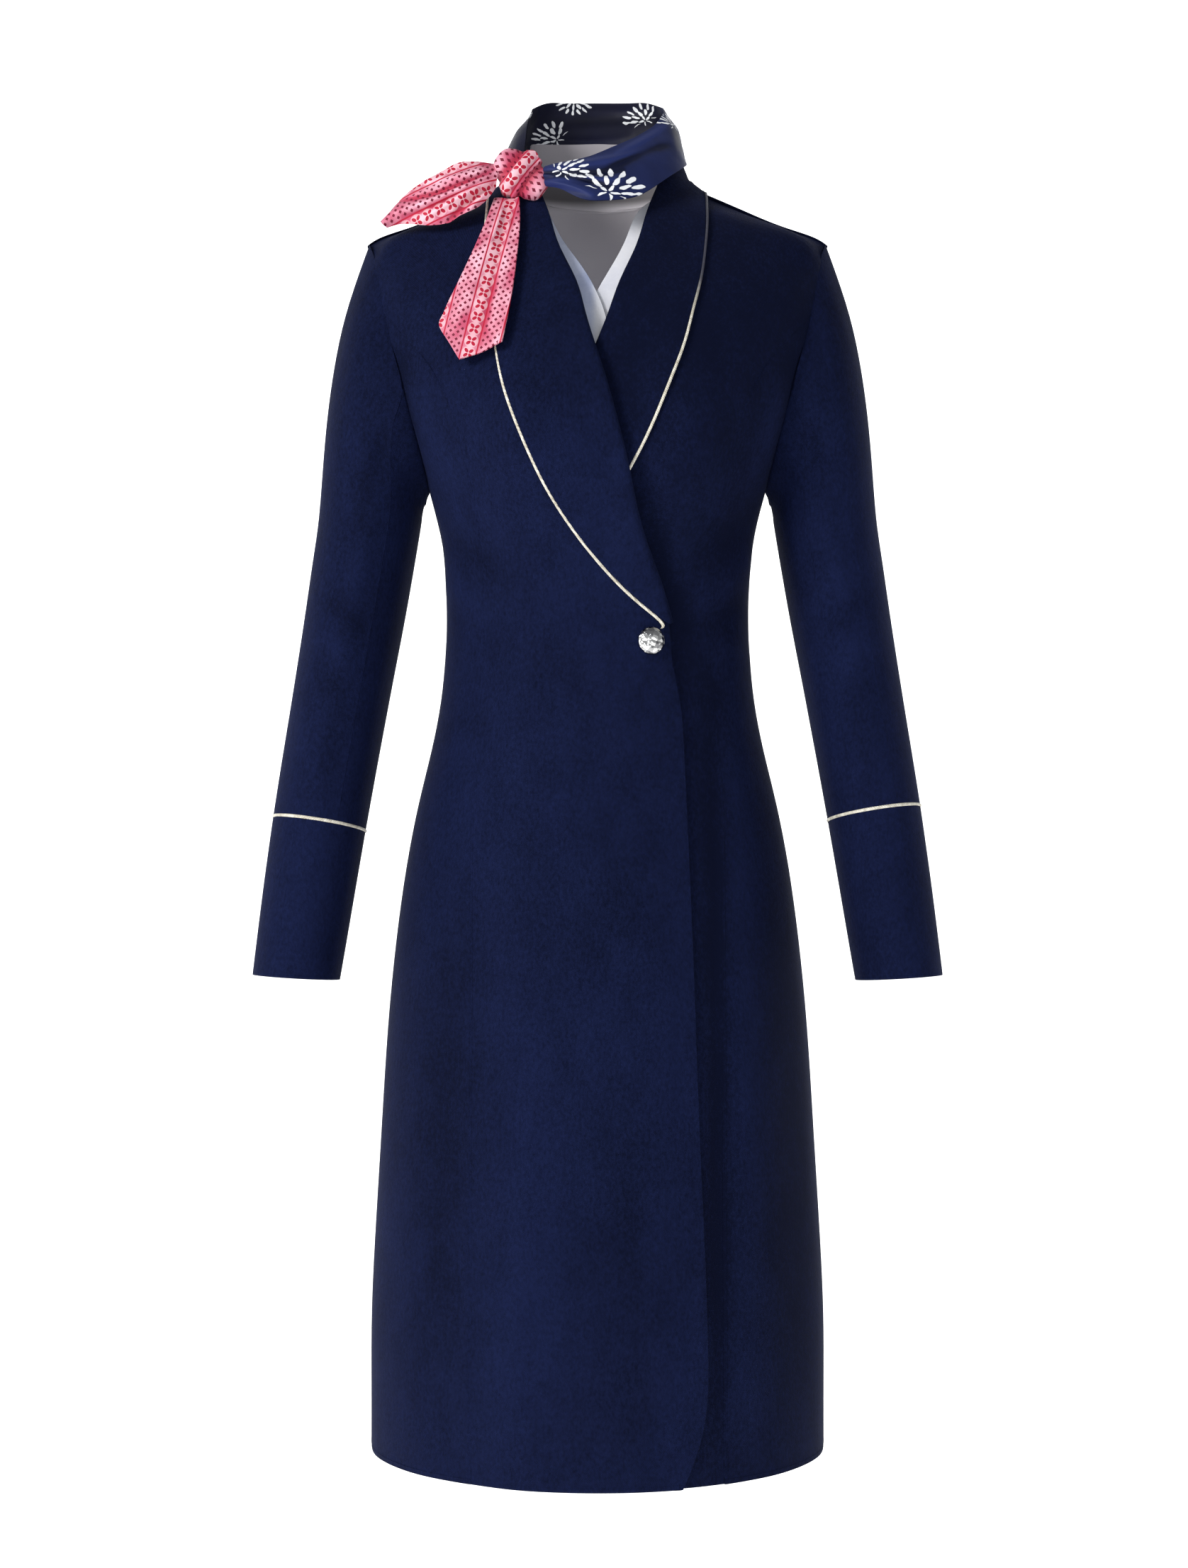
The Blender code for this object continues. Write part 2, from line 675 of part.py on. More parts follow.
def sleeve_pieces(side, armhole, material, collection):
    """The upper and the under sleeve, cut from one ring of columns."""
    grid = [list(row) for row in armhole.middle_grid]
    top = CUFF_TOPS[side]
    grid.append(sleeve_ring(top + CUFF_PIPING_RADIUS + SEAM_GAP, armhole.rounds))
    normals = [list(row) for row in armhole.sleeve_normals]
    plain = grid_normals(grid, closed=True)
    normals.append([n if n.dot(normals[-1][k]) > 0 else -n for k, n in enumerate(plain[-1])])
    inner = [[p - n * COAT_WALL for p, n in zip(a, b)] for a, b in zip(grid, normals)]
    inner[0] = [p - mitre for p, mitre in zip(grid[0], armhole.mitres)]
    spots = [(0, k) for k in range(len(armhole.points))]
    move_edge((grid, inner), spots, armhole.steps, ARMHOLE_GAP / 2)
    count = len(armhole.points)
    upper = [k % count for k in range(-BACK_SEAM_ROW, FRONT_SEAM_ROW + 1)]
    under = list(range(FRONT_SEAM_ROW, count - BACK_SEAM_ROW + 1))
    for name, columns in (("upper", upper), ("under", under)):
        grids = [[[row[k] for k in columns] for row in face] for face in (grid, inner)]
        for face in grids:
            for row in face:
                start = (row[1] - row[0]).normalized() * SEAM_GAP / 2
                end = (row[-2] - row[-1]).normalized() * SEAM_GAP / 2
                row[0] = row[0] + start
                row[-1] = row[-1] + end
        finish_panel("sleeve_%s_%s" % (side, name), grids, side, material, collection)


def cuff(side, armhole, material, collection):
    start = CUFF_TOPS[side] - CUFF_PIPING_RADIUS - SEAM_GAP
    heights = [mix(start, CUFF_BOTTOM, i / CUFF_ROWS) for i in range(CUFF_ROWS + 1)]
    outer = [sleeve_ring(height, armhole.rounds) for height in heights]
    inner = [sleeve_ring(height, armhole.rounds, -COAT_WALL) for height in heights]
    if side == "right":
        outer = [[mirrored(point) for point in row] for row in outer]
        inner = [[mirrored(point) for point in row] for row in inner]
    return add_wall("cuff_%s" % side, outer, inner, material, collection, closed=True)


def add_tube(name, points, radius, material, collection, closed=False):
    """A round cord through the points, in millimetres."""
    curve = bpy.data.curves.new(name, "CURVE")
    curve.dimensions = "3D"
    spline = curve.splines.new("POLY")
    spline.points.add(len(points) - 1)
    for spot, point in zip(spline.points, points):
        spot.co = (*(point * MM), 1.0)
    spline.use_cyclic_u = closed
    curve.bevel_depth = radius * MM
    curve.bevel_resolution = 1
    curve.use_fill_caps = True
    curve.materials.append(material)
    thing = bpy.data.objects.new(name, curve)
    collection.objects.link(thing)
    return thing


def cuff_piping(side, armhole, material, collection):
    count = 20
    rounds = [i / count * 2 * math.pi for i in range(count)]
    ring = sleeve_ring(CUFF_TOPS[side], rounds, -0.6)
    if side == "right":
        ring = [mirrored(point) for point in ring]
    return add_tube("piping_cuff_%s" % side, ring, CUFF_PIPING_RADIUS, material, collection, closed=True)


# ---------------------------------------------------------------- lapels and collar


def lapel_stations(side):
    """For each station: its neck place, outer edge place, swell and crest, if it has one."""
    crests = {crest.station: crest for crest in CRESTS}
    stations = []
    for lapel in LAPELS:
        out, height = (
            (lapel.right_out, lapel.right_height) if side == "right" else (lapel.left_out, lapel.left_height)
        )
        edge = (math.pi / 2, height) if lapel.row == 0 else (angle_of(out, height), height)
        swell = lapel.right_swell if side == "right" else lapel.left_swell
        stations.append((inner_place(side, lapel.row), edge, swell, crests.get(lapel.row)))
    for crest in CRESTS:
        if crest.station < 0:
            neck = back_neck_place(1 + crest.station / NECK_COLUMNS)
            edge = angle_of(crest.edge_out, crest.edge_height, behind=True), crest.edge_height
            stations.append((neck, edge, 0.0, crest))
    return stations


def lapel_section(side, along, neck, edge, swell, crest):
    """The middle line of the cloth, from the panel's edge over the roll to the lapel's edge."""
    half = COAT_WALL / 2
    start = on_coat(side, neck)
    up = form_normal(*neck)
    toward = up.cross(along).normalized()
    if toward.dot(on_coat(side, mix_places(neck, edge, 0.05)) - start) < 0:
        toward = -toward
    if crest is None:
        away = -toward
        base = start + away * 1.6 * SEAM_GAP - up * half
        fold = base + away * 0.8
        radius = (LAPEL_LIFT + swell + COAT_WALL) / 2
        clear = LAPEL_LIFT + swell + half
    else:
        target = Vector((crest.out, -crest.forward, crest.up))
        away = (target - start).normalized()
        turn = max(away.dot(up), 0.0)
        base = start - toward * (1.6 * SEAM_GAP + half * turn) - up * half * (1 + turn)
        away = (target - base).normalized()
        fold = target
        radius = CREST_RADIUS
        clear = crest.clear
    outward = (up + toward * 0.6) if crest is not None else up
    outward = (outward - away * outward.dot(away)).normalized()
    line = [base, fold]
    for degrees in (60, 120, 180):
        turn = math.radians(degrees)
        line.append(fold + away * radius * math.sin(turn) + outward * radius * (1 - math.cos(turn)))
    spare = 1.0 if crest is not None and crest.station <= 0 else 0.0
    for share in FALL_STEPS:
        lift = mix(LAPEL_LIFT + half + spare, clear, (1 - share) ** 1.5)
        line.append(on_coat(side, mix_places(neck, edge, share), lift))
    return line


def lapel(side, material, piping_material, collection):
    stations = lapel_stations(side)
    seam = [on_coat(side, station[0]) for station in stations]
    grid = []
    for i, station in enumerate(stations):
        along = seam[min(i + 1, len(seam) - 1)] - seam[max(i - 1, 0)]
        grid.append(lapel_section(side, along, *station))
    grid[-1] = [Vector((SEAM_GAP / 2, point.y, point.z)) for point in grid[-1]]
    outer, inner = wall_round_middle(grid, COAT_WALL)
    for line in (outer[-1], inner[-1]):
        for point in line:
            point.x = SEAM_GAP / 2
    finish_panel("coat_lapel_%s" % side, (outer, inner), side, material, collection)
    route = []
    for i, row in enumerate(grid):
        along = grid[min(i + 1, len(grid) - 1)][-1] - grid[max(i - 1, 0)][-1]
        beyond = row[-1] - row[-2]
        outward = (beyond - along * (beyond.dot(along) / along.length_squared)).normalized()
        route.append(row[-1] + outward * (PIPING_RADIUS + SEAM_GAP))
    route[-1].x = SEAM_GAP
    end = {"right": (-50.0, -381.5), "left": (-51.5, -381.5)}[side]
    tip = on_coat(side, (angle_of(*end), end[1]), LAPEL_LIFT + COAT_WALL / 2)
    points = [tip] + route
    if side == "right":
        points = [mirrored(point) for point in points]
    add_tube("piping_lapel_%s" % side, points, PIPING_RADIUS, piping_material, collection)


# ---------------------------------------------------------------- the button


def button(material, cutters, coat_front, collection):
    """A domed shank button, and the buttonhole that its shank passes through."""
    place = (angle_of(-BUTTON_OUT, BUTTON_PLACE_HEIGHT), BUTTON_PLACE_HEIGHT)
    face = mirrored(on_coat("right", place))
    outward = mirrored(form_normal(*place))
    under_place = (angle_of(BUTTON_OUT, BUTTON_PLACE_HEIGHT), BUTTON_PLACE_HEIGHT)
    under = on_coat("left", under_place)
    shank_length = (face - under).dot(outward) - 3 * SEAM_GAP
    back = 0.6
    rim = 1.9
    profile = [(0.0, BUTTON_HEIGHT)]
    for degrees in (18, 36, 54, 72, 90):
        turn = math.radians(degrees)
        profile.append((BUTTON_RADIUS * math.sin(turn), rim + (BUTTON_HEIGHT - rim) * math.cos(turn)))
    profile += [
        (BUTTON_RADIUS - 0.5, back + 0.3), (BUTTON_RADIUS - 1.4, back),
        (SHANK_RADIUS, back), (SHANK_RADIUS, -shank_length), (0.0, -shank_length),
    ]
    mesh = bpy.data.meshes.new("button")
    edges = [(i, i + 1) for i in range(len(profile) - 1)]
    mesh.from_pydata([(r * MM, 0.0, h * MM) for r, h in profile], edges, [])
    mesh.materials.append(material)
    thing = bpy.data.objects.new("button", mesh)
    collection.objects.link(thing)
    turned = thing.modifiers.new("Turned", "SCREW")
    turned.steps = 20
    turned.render_steps = 20
    turned.use_merge_vertices = True
    turned.merge_threshold = 0.00001
    turned.use_normal_calculate = True
    frame = outward.to_track_quat("Z", "Y")
    thing.rotation_euler = frame.to_euler()
    thing.location = face * MM

    bpy.ops.mesh.primitive_cube_add(size=1.0)
    slot = bpy.context.object
    slot.name = "buttonhole_cutter"
    for owner in list(slot.users_collection):
        owner.objects.unlink(slot)
    cutters.objects.link(slot)
    slot.scale = (BUTTONHOLE_LENGTH * MM, (2 * SHANK_RADIUS + 0.8) * MM, 4 * COAT_WALL * MM)
    slot.rotation_euler = frame.to_euler()
    along = frame @ Vector((1, 0, 0))
    if along.x > 0:
        along = -along
    slot.location = (face - outward * COAT_WALL / 2 + along * BUTTONHOLE_SHIFT) * MM
    slot.hide_render = True
    slot.display_type = "WIRE"
    cut = coat_front.modifiers.new("Buttonhole", "BOOLEAN")
    cut.operation = "DIFFERENCE"
    cut.object = slot


# ---------------------------------------------------------------- the blouse

BLOUSE_NECK_HEIGHT = 4.0    # on the ridge of the shoulder
BLOUSE_NECK_OUT = 61.0
BLOUSE_BACK_NECK = -10.0
BLOUSE_TIP = -40.0
BLOUSE_HEM = -500.0
BLOUSE_ARMHOLE = (
    Out(-40, 164), Out(-70, 167), Out(-110, 163), Out(-150, 156), Out(-190, 149),
    Out(-230, 141), Out(-262, 134), Out(-284, 131),
)
BlouseRow = namedtuple("BlouseRow", "inner side back right left")
BLOUSE_ROWS = (
    BlouseRow(4, -40, -10, 61, 61),
    BlouseRow(-8, -66, -38, 56, 54),
    BlouseRow(-24, -92, -68, 43.5, 36),
    BlouseRow(-48, -120, -100, 33, 26.5),
    BlouseRow(-72, -150, -132, 18, 15.5),
    BlouseRow(-97, -182, -166, 5, 2.5),
    BlouseRow(-124, -215, -200, -4, -9),
    BlouseRow(-155, -250, -240, -9, -23),
    BlouseRow(-195, -284, -284, -19, -35),
    BlouseRow(-240, -303, -303, -32, -43),
    BlouseRow(-282, -324, -324, -42, -45),
    BlouseRow(-320, -346, -346, -45, -45),
    BlouseRow(-352, -366, -366, -45, -45),
    BlouseRow(-383, -389, -389, -45, -45),
    BlouseRow(-416, -418, -418, -45, -45),
    BlouseRow(-456, -456, -456, -45, -45),
    BlouseRow(-500, -500, -500, -45, -45),
)
BLOUSE_UNDERARM_ROW = 8
BLOUSE_COLUMNS = 7
BLOUSE_OVERLAP_DEPTH = 3.0
blouse_armhole_out = smooth_values(BLOUSE_ARMHOLE, "height", "out")


def blouse_depth(side, angle, height):
    if math.cos(angle) <= 0:
        return BLOUSE_DEPTH
    out = form_point(angle, height).x
    depth = BLOUSE_DEPTH + BLOUSE_FRONT_EXTRA * ease(out, 110, 62) * ease(height, -5, -60)
    if side == "left":
        depth += BLOUSE_OVERLAP_DEPTH * ease(out, 85, 48) * ease(height, -50, -100)
    return depth


def in_blouse(side, place, deeper=0.0):
    depth = blouse_depth(side, *place) + deeper
    return form_point(*place) - form_normal(*place) * depth


def blouse_side_place(row, behind):
    height = BLOUSE_ROWS[row].side
    if row == 0 or row >= BLOUSE_UNDERARM_ROW:
        return math.pi / 2, height
    return angle_of(blouse_armhole_out(height), height, behind), height


def blouse_grids(side, places):
    outer = [[in_blouse(side, place) for place in row] for row in places]
    inner = [[in_blouse(side, place, BLOUSE_WALL) for place in row] for row in places]
    return outer, inner


def blouse_front(side, material, collection):
    places = []
    for row, line in enumerate(BLOUSE_ROWS):
        out = line.right if side == "right" else line.left
        inner = (math.pi / 2, line.inner) if row == 0 else (angle_of(out, line.inner), line.inner)
        outer = blouse_side_place(row, False)
        places.append([mix_places(inner, outer, j / BLOUSE_COLUMNS) for j in range(BLOUSE_COLUMNS + 1)])
    grids = blouse_grids(side, places)
    last = BLOUSE_COLUMNS
    ahead = Vector((0, -1, 0))
    below = range(BLOUSE_UNDERARM_ROW, len(BLOUSE_ROWS))
    move_edge(grids, [(0, j) for j in range(last + 1)], [ahead] * (last + 1), SEAM_GAP / 2)
    move_edge(grids, [(row, last) for row in below], [ahead] * len(below), SEAM_GAP / 2)
    return finish_panel("blouse_front_%s" % side, grids, side, material, collection)


def blouse_neck_place(share):
    """From the centre back (0) to the neck point (1)."""
    if share >= 1:
        return math.pi / 2, BLOUSE_NECK_HEIGHT
    height = mix(BLOUSE_NECK_HEIGHT, BLOUSE_BACK_NECK, 1 - share ** 2)
    return angle_of(BLOUSE_NECK_OUT * math.sin(share * math.pi / 2), height, behind=True), height


def blouse_back(material, collection):
    """The whole back, cut in one piece from side seam to side seam."""
    half = NECK_COLUMNS + BLOUSE_COLUMNS
    shoulder = [(math.pi / 2, mix(BLOUSE_NECK_HEIGHT, BLOUSE_TIP, j / BLOUSE_COLUMNS))
                for j in range(BLOUSE_COLUMNS + 1)]
    top_row = [blouse_neck_place(j / NECK_COLUMNS) for j in range(NECK_COLUMNS)] + shoulder
    middles = [row.back for row in BLOUSE_ROWS]
    edges = [blouse_side_place(row, True) for row in range(len(BLOUSE_ROWS))]
    places = back_places(top_row, middles, edges, 6)
    grids = blouse_grids("left", places)
    back = Vector((0, 1, 0))
    below = range(BLOUSE_UNDERARM_ROW, len(BLOUSE_ROWS))
    spots = [(0, j) for j in range(NECK_COLUMNS, half + 1)]
    move_edge(grids, spots, [back] * len(spots), SEAM_GAP / 2)
    move_edge(grids, [(row, half) for row in below], [back] * len(below), SEAM_GAP / 2)
    whole = []
    for grid in grids:
        whole.append([[mirrored(point) for point in row[:0:-1]] + row for row in grid])
    return add_wall("blouse_back", whole[0], whole[1], material, collection)


Collar = namedtuple("Collar", "share out forward up")
BLOUSE_COLLAR = (       # the top edge of the stand, from the shoulder to the centre back
    Collar(1.0, 56.5, -9, 34),
    Collar(0.75, 54.5, -28, 40),
    Collar(0.5, 44.5, -42, 43),
    Collar(0.25, 24.5, -51, 45),
    Collar(0.0, 0, -53, 46),
)


def blouse_collar(material, collection):
    """The stand of the blouse's collar, round the back of the neck from shoulder to shoulder."""
    rows = 4
    half_grid = []
    for spot in BLOUSE_COLLAR:
        turn = spot.share * math.pi / 2
        inward = Vector((-math.sin(turn), -math.cos(turn), 0))
        seam = in_blouse("left", blouse_neck_place(spot.share))
        foot = seam + inward * (SEAM_GAP + BLOUSE_WALL / 2)
        foot.z += 0.4
        top = Vector((spot.out, -spot.forward, spot.up))
        half_grid.append([mix(foot, top, i / rows) for i in range(rows + 1)])
    smooth = []
    for i in range(rows + 1):
        smooth.append(smooth_line([line[i] for line in half_grid], 10))
    smooth = [[row[j] for row in smooth] for j in range(10)]
    whole = smooth + [[mirrored(point) for point in line] for line in smooth[-2::-1]]
    outer, inner = wall_round_middle(whole, BLOUSE_WALL)
    return add_wall("blouse_collar", outer, inner, material, collection)


# ---------------------------------------------------------------- the scarf

Band = namedtuple("Band", "top_x top_y top_z low_x low_y low_z")
SCARF_SIDE = (      # from the knot back along the wearer's right side of the neck
    Band(-61.5, -33, 17, -73, -33.5, 9.5),
    Band(-60, -14, 40, -78, -10, 20),
    Band(-58, 8, 62, -77, 12, 27),
    Band(-55.6, 31.1, 78.6, -69.1, 37.6, 34.4),
)
SCARF_BACK = (
    Band(-55.5, 31.5, 79, -69, 38, 34.5),
    Band(-47, 50, 84, -56, 55, 40),
    Band(-27, 61, 86, -31, 66, 45),
    Band(0, 65, 87, 0, 70, 46),
    Band(27, 61, 86, 31, 66, 44),
    Band(47, 50, 84, 56, 55, 39),
    Band(56, 31.5, 80, 66.6, 37.4, 28.8),
)
SCARF_FRONT = (
    Band(56.2, 31.1, 79.7, 66.9, 37.0, 28.5),
    Band(57, 8, 69, 72.6, 8.5, 20.8),
    Band(50, -13, 48, 73, -24, 10),
    Band(32, -31, 32, 58, -48, -5),
    Band(12, -44, 20, 34, -67, -24),
    Band(-6, -51, 11, 9, -76, -30),
    Band(-22, -54, 6.5, -12, -75, -29),
    Band(-36, -53, 4, -30, -66, -19),
    Band(-43.1, -49.6, 2.6, -41.6, -57.1, -14.9),
)
Tail = namedtuple("Tail", "top_x top_y top_z low_x low_y low_z")
SCARF_TAIL_SIDE = (
    Tail(-86.9, -42.6, 6.6, -85.9, -48.6, -15.4),
    Tail(-100, -48, 7, -98, -56, -31),
    Tail(-115, -49, 6, -113, -57, -38),
    Tail(-129, -47, -1, -124, -54, -44),
    Tail(-145, -44, -9, -140, -50, -45),
    Tail(-160, -40, -19, -153, -45, -43),
    Tail(-172, -36, -31, -165, -40, -42),
    Tail(-178, -34, -39, -175, -36, -44),
)
Drop = namedtuple("Drop", "left_out left_height right_out right_height")
SCARF_TAIL_HANGING = (      # seen from the front, over the wearer's right lapel
    Drop(84, -32, 63.5, -31.2),
    Drop(92, -58, 63, -57),
    Drop(101, -84, 64.5, -83),
    Drop(110, -107, 67, -110),
    Drop(118, -126, 70.5, -137),
    Drop(122, -140, 74, -159),
)
TAIL_PROUD = 11.7           # from the coat's outer face
TAIL_WAVE = 2.2             # half the depth of its lengthwise fold
TAIL_POINT = 22.0           # how far its corner hangs below the line between the others
TAIL_POINT_SHARE = 1 / 3    # across the tail from its outer edge
KNOT_X, KNOT_Y, KNOT_Z = -63.9, -44.3, -2.1
KNOT_HALF_LENGTH = 21.0
KNOT_HALF_WIDTH = 19.0
KNOT_END_WIDTH = 2.0
KNOT_DEPTH_SHARE = 0.65     # of its width
KNOT_LEAN = 38.0
KNOT_LOBE = 0.07            # how much the folds round it swell, as a share of its width


def band_wall(name, table, count, columns, material, collection, fold=0.0):
    """A stretch of the scarf between its two edges, with a soft lengthwise fold."""
    tops = smooth_line([Vector((row[0], row[1], row[2])) for row in table], count)
    lows = smooth_line([Vector((row[3], row[4], row[5])) for row in table], count)
    grid = []
    for i, (top, low) in enumerate(zip(tops, lows)):
        along = tops[min(i + 1, count - 1)] - tops[max(i - 1, 0)]
        bulge = (low - top).cross(along).normalized()
        if bulge.dot(Vector((top.x, top.y, 0)) + Vector((low.x, low.y, 0))) < 0:
            bulge = -bulge
        grid.append([mix(top, low, j / columns) + bulge * fold * math.sin(math.pi * j / columns)
                     for j in range(columns + 1)])
    outer, inner = wall_round_middle(grid, SCARF_WALL)
    return add_wall(name, outer, inner, material, collection)


def scarf_knot(material, collection):
    """The wrap of the knot: a soft roll, fullest at its middle."""
    rows, columns = 10, 12
    lean = math.radians(KNOT_LEAN)
    points = []
    for i in range(rows + 1):
        share = i / rows
        for j in range(columns):
            turn = 2 * math.pi * j / columns
            wide = KNOT_HALF_WIDTH * math.sin(math.pi * mix(0.12, 0.88, share)) + KNOT_END_WIDTH
            along = mix(-KNOT_HALF_LENGTH, KNOT_HALF_LENGTH, share)
            wide *= 1 + KNOT_LOBE * math.cos(3 * turn + 2 * share)
            aside = 1.05 * wide * math.cos(turn)
            behind = 1.05 * wide * KNOT_DEPTH_SHARE * math.sin(turn)
            right = aside * math.cos(lean) + along * math.sin(lean)
            up = 0.92 * along * math.cos(lean) - aside * math.sin(lean)
            points.append(Vector((KNOT_X + right, KNOT_Y + behind, KNOT_Z + up)))
    faces = []
    for i in range(rows):
        for j in range(columns):
            k = (j + 1) % columns
            faces.append((i * columns + j, i * columns + k, (i + 1) * columns + k, (i + 1) * columns + j))
    faces.append(tuple(range(columns)))
    faces.append(tuple(rows * columns + j for j in reversed(range(columns))))
    return add_mesh("scarf_knot", points, faces, material, collection)


def hanging_tail(material, collection):
    rows, columns = 9, 6
    lefts = smooth_line([Vector((row.left_out, row.left_height, 0)) for row in SCARF_TAIL_HANGING], rows)
    rights = smooth_line([Vector((row.right_out, row.right_height, 0)) for row in SCARF_TAIL_HANGING], rows)
    grid = []
    for i, (left, right) in enumerate(zip(lefts, rights)):
        line = []
        for j in range(columns + 1):
            share = j / columns
            spot = mix(left, right, share)
            point = min(share / TAIL_POINT_SHARE, (1 - share) / (1 - TAIL_POINT_SHARE))
            tip = TAIL_POINT * point * (i / (rows - 1)) ** 3
            height = spot.y - tip
            wave = TAIL_WAVE * math.sin(2 * math.pi * share + 0.6) * (0.4 + 0.6 * i / (rows - 1))
            place = (angle_of(spot.x, height), height)
            line.append(mirrored(on_coat("right", place, TAIL_PROUD + wave)))
        grid.append(line)
    outer, inner = wall_round_middle(grid, SCARF_WALL)
    return add_wall("scarf_tail_hanging", outer, inner, material, collection)


# ---------------------------------------------------------------- materials and assembly


def material(name, color, roughness, metallic=0.0):
    made = bpy.data.materials.new(name)
    made.use_nodes = True
    shader = made.node_tree.nodes["Principled BSDF"]
    shader.inputs["Base Color"].default_value = (*color, 1.0)
    shader.inputs["Roughness"].default_value = roughness
    shader.inputs["Metallic"].default_value = metallic
    made.diffuse_color = (*color, 1.0)
    return made


def new_collection(name):
    made = bpy.data.collections.new(name)
    bpy.context.scene.collection.children.link(made)
    return made


def build():
    for thing in list(bpy.data.objects):
        bpy.data.objects.remove(thing, do_unlink=True)
    uniform = new_collection("cabin_uniform")
    cutters = new_collection("cutters")
    navy = material("navy_wool", (0.008, 0.012, 0.045), 0.85)
    pale = material("pale_blouse", (0.72, 0.76, 0.86), 0.7)
    piping = material("pale_piping", (0.85, 0.80, 0.58), 0.55)
    silver = material("silver_button", (0.75, 0.76, 0.78), 0.25, 1.0)
    silk_navy = material("scarf_navy", (0.02, 0.03, 0.14), 0.5)
    silk_pink = material("scarf_pink", (0.80, 0.25, 0.33), 0.5)
    armhole = Armhole()
    fronts = {}
    for side in ("right", "left"):
        fronts[side] = front_center(side, armhole, navy, uniform)
        front_side(side, armhole, navy, uniform)
        back_half(side, armhole, navy, uniform)
        sleeve_pieces(side, armhole, navy, uniform)
        cuff(side, armhole, navy, uniform)
        cuff_piping(side, armhole, piping, uniform)
        lapel(side, navy, piping, uniform)
        blouse_front(side, pale, uniform)
    blouse_back(pale, uniform)
    blouse_collar(pale, uniform)
    button(silver, cutters, fronts["right"], uniform)
    band_wall("scarf_side", SCARF_SIDE, 7, 4, silk_navy, uniform, 2.0)
    band_wall("scarf_back", SCARF_BACK, 15, 4, silk_navy, uniform, 2.0)
    band_wall("scarf_front", SCARF_FRONT, 17, 6, silk_navy, uniform, 4.0)
    scarf_knot(silk_pink, uniform)
    band_wall("scarf_tail_side", SCARF_TAIL_SIDE, 11, 6, silk_pink, uniform, 7.0)
    hanging_tail(silk_pink, uniform)


build()
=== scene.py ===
"""The looks of a cabin uniform: a navy coat, its blouse and a knotted neck scarf.

Each cloth piece is a fine shell on its solid's form.  The solid's quads are found again,
its edges are rounded, its faces are subdivided, and soft creases are pushed into it at
listed places.  Places are in metres in the frame of the solids: +X is the wearer's
left, -Y the front and +Z up, with the origin in the middle of the neck.
"""

import math
from collections import namedtuple

import bmesh
import bpy
import numpy as np
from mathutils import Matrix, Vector


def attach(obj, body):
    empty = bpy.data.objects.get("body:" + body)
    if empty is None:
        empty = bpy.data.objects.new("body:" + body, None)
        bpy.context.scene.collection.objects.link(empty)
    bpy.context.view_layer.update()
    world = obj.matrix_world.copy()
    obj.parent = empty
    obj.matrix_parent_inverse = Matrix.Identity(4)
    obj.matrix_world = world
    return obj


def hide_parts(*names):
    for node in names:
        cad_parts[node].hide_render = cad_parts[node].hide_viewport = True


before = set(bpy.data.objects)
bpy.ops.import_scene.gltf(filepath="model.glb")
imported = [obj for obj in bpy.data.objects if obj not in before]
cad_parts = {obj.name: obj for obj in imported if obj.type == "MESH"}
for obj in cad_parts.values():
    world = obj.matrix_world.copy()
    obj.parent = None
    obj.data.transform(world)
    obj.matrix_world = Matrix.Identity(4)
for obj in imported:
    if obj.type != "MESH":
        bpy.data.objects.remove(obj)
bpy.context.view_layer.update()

# ---------------------------------------------------------------- camera, floor and light

CAMERA_DISTANCE = 2.2           # to the middle of the coat
CAMERA_PLACE = Vector((-0.003, -CAMERA_DISTANCE, -0.5076))
VIEW_HEIGHT = 1.3272            # of the coat's mid-plane, seen by the long side of the frame
SENSOR = 36.0
FLOOR_HEIGHT = -1.62            # where a wearer's feet would be
FLOOR_REACH = 9.0               # to the front and to both sides
BACKDROP_DISTANCE = 7.0         # far enough for a look at the coat from behind
BACKDROP_BEND = 2.0
BACKDROP_HEIGHT = 7.0
FLOOR_GLOW = 0.92
FLOOR_TONE = (0.80, 0.80, 0.80)
SKY_STRENGTH = 0.40
SKY_COLOR = (0.95, 0.97, 1.0)


def make_camera():
    data = bpy.data.cameras.new("camera")
    data.sensor_width = SENSOR
    data.lens = SENSOR * CAMERA_DISTANCE / VIEW_HEIGHT
    camera = bpy.data.objects.new("camera", data)
    camera.location = CAMERA_PLACE
    camera.rotation_euler = (math.pi / 2, 0, 0)
    bpy.context.scene.collection.objects.link(camera)
    bpy.context.scene.camera = camera


def make_stage():
    """A pale floor that bends up into a backdrop."""
    profile = [(-FLOOR_REACH, 0.0), (BACKDROP_DISTANCE - BACKDROP_BEND, 0.0)]
    for degrees in range(10, 91, 10):
        turn = math.radians(degrees)
        profile.append((BACKDROP_DISTANCE - BACKDROP_BEND * (1 - math.sin(turn)),
                        BACKDROP_BEND * (1 - math.cos(turn))))
    profile.append((BACKDROP_DISTANCE, BACKDROP_HEIGHT))
    points = [(x, y, z + FLOOR_HEIGHT) for y, z in profile for x in (-FLOOR_REACH, FLOOR_REACH)]
    faces = [(2 * i, 2 * i + 1, 2 * i + 3, 2 * i + 2) for i in range(len(profile) - 1)]
    mesh = bpy.data.meshes.new("floor")
    mesh.from_pydata(points, [], faces)
    mesh.shade_smooth()
    floor = bpy.data.objects.new("floor", mesh)
    bpy.context.scene.collection.objects.link(floor)
    paint = bpy.data.materials.new("pale_floor")
    paint.use_nodes = True
    shader = paint.node_tree.nodes["Principled BSDF"]
    shader.inputs["Base Color"].default_value = (*FLOOR_TONE, 1.0)
    shader.inputs["Roughness"].default_value = 0.9
    shader.inputs["Emission Color"].default_value = (1.0, 1.0, 1.0, 1.0)
    shader.inputs["Emission Strength"].default_value = FLOOR_GLOW
    mesh.materials.append(paint)


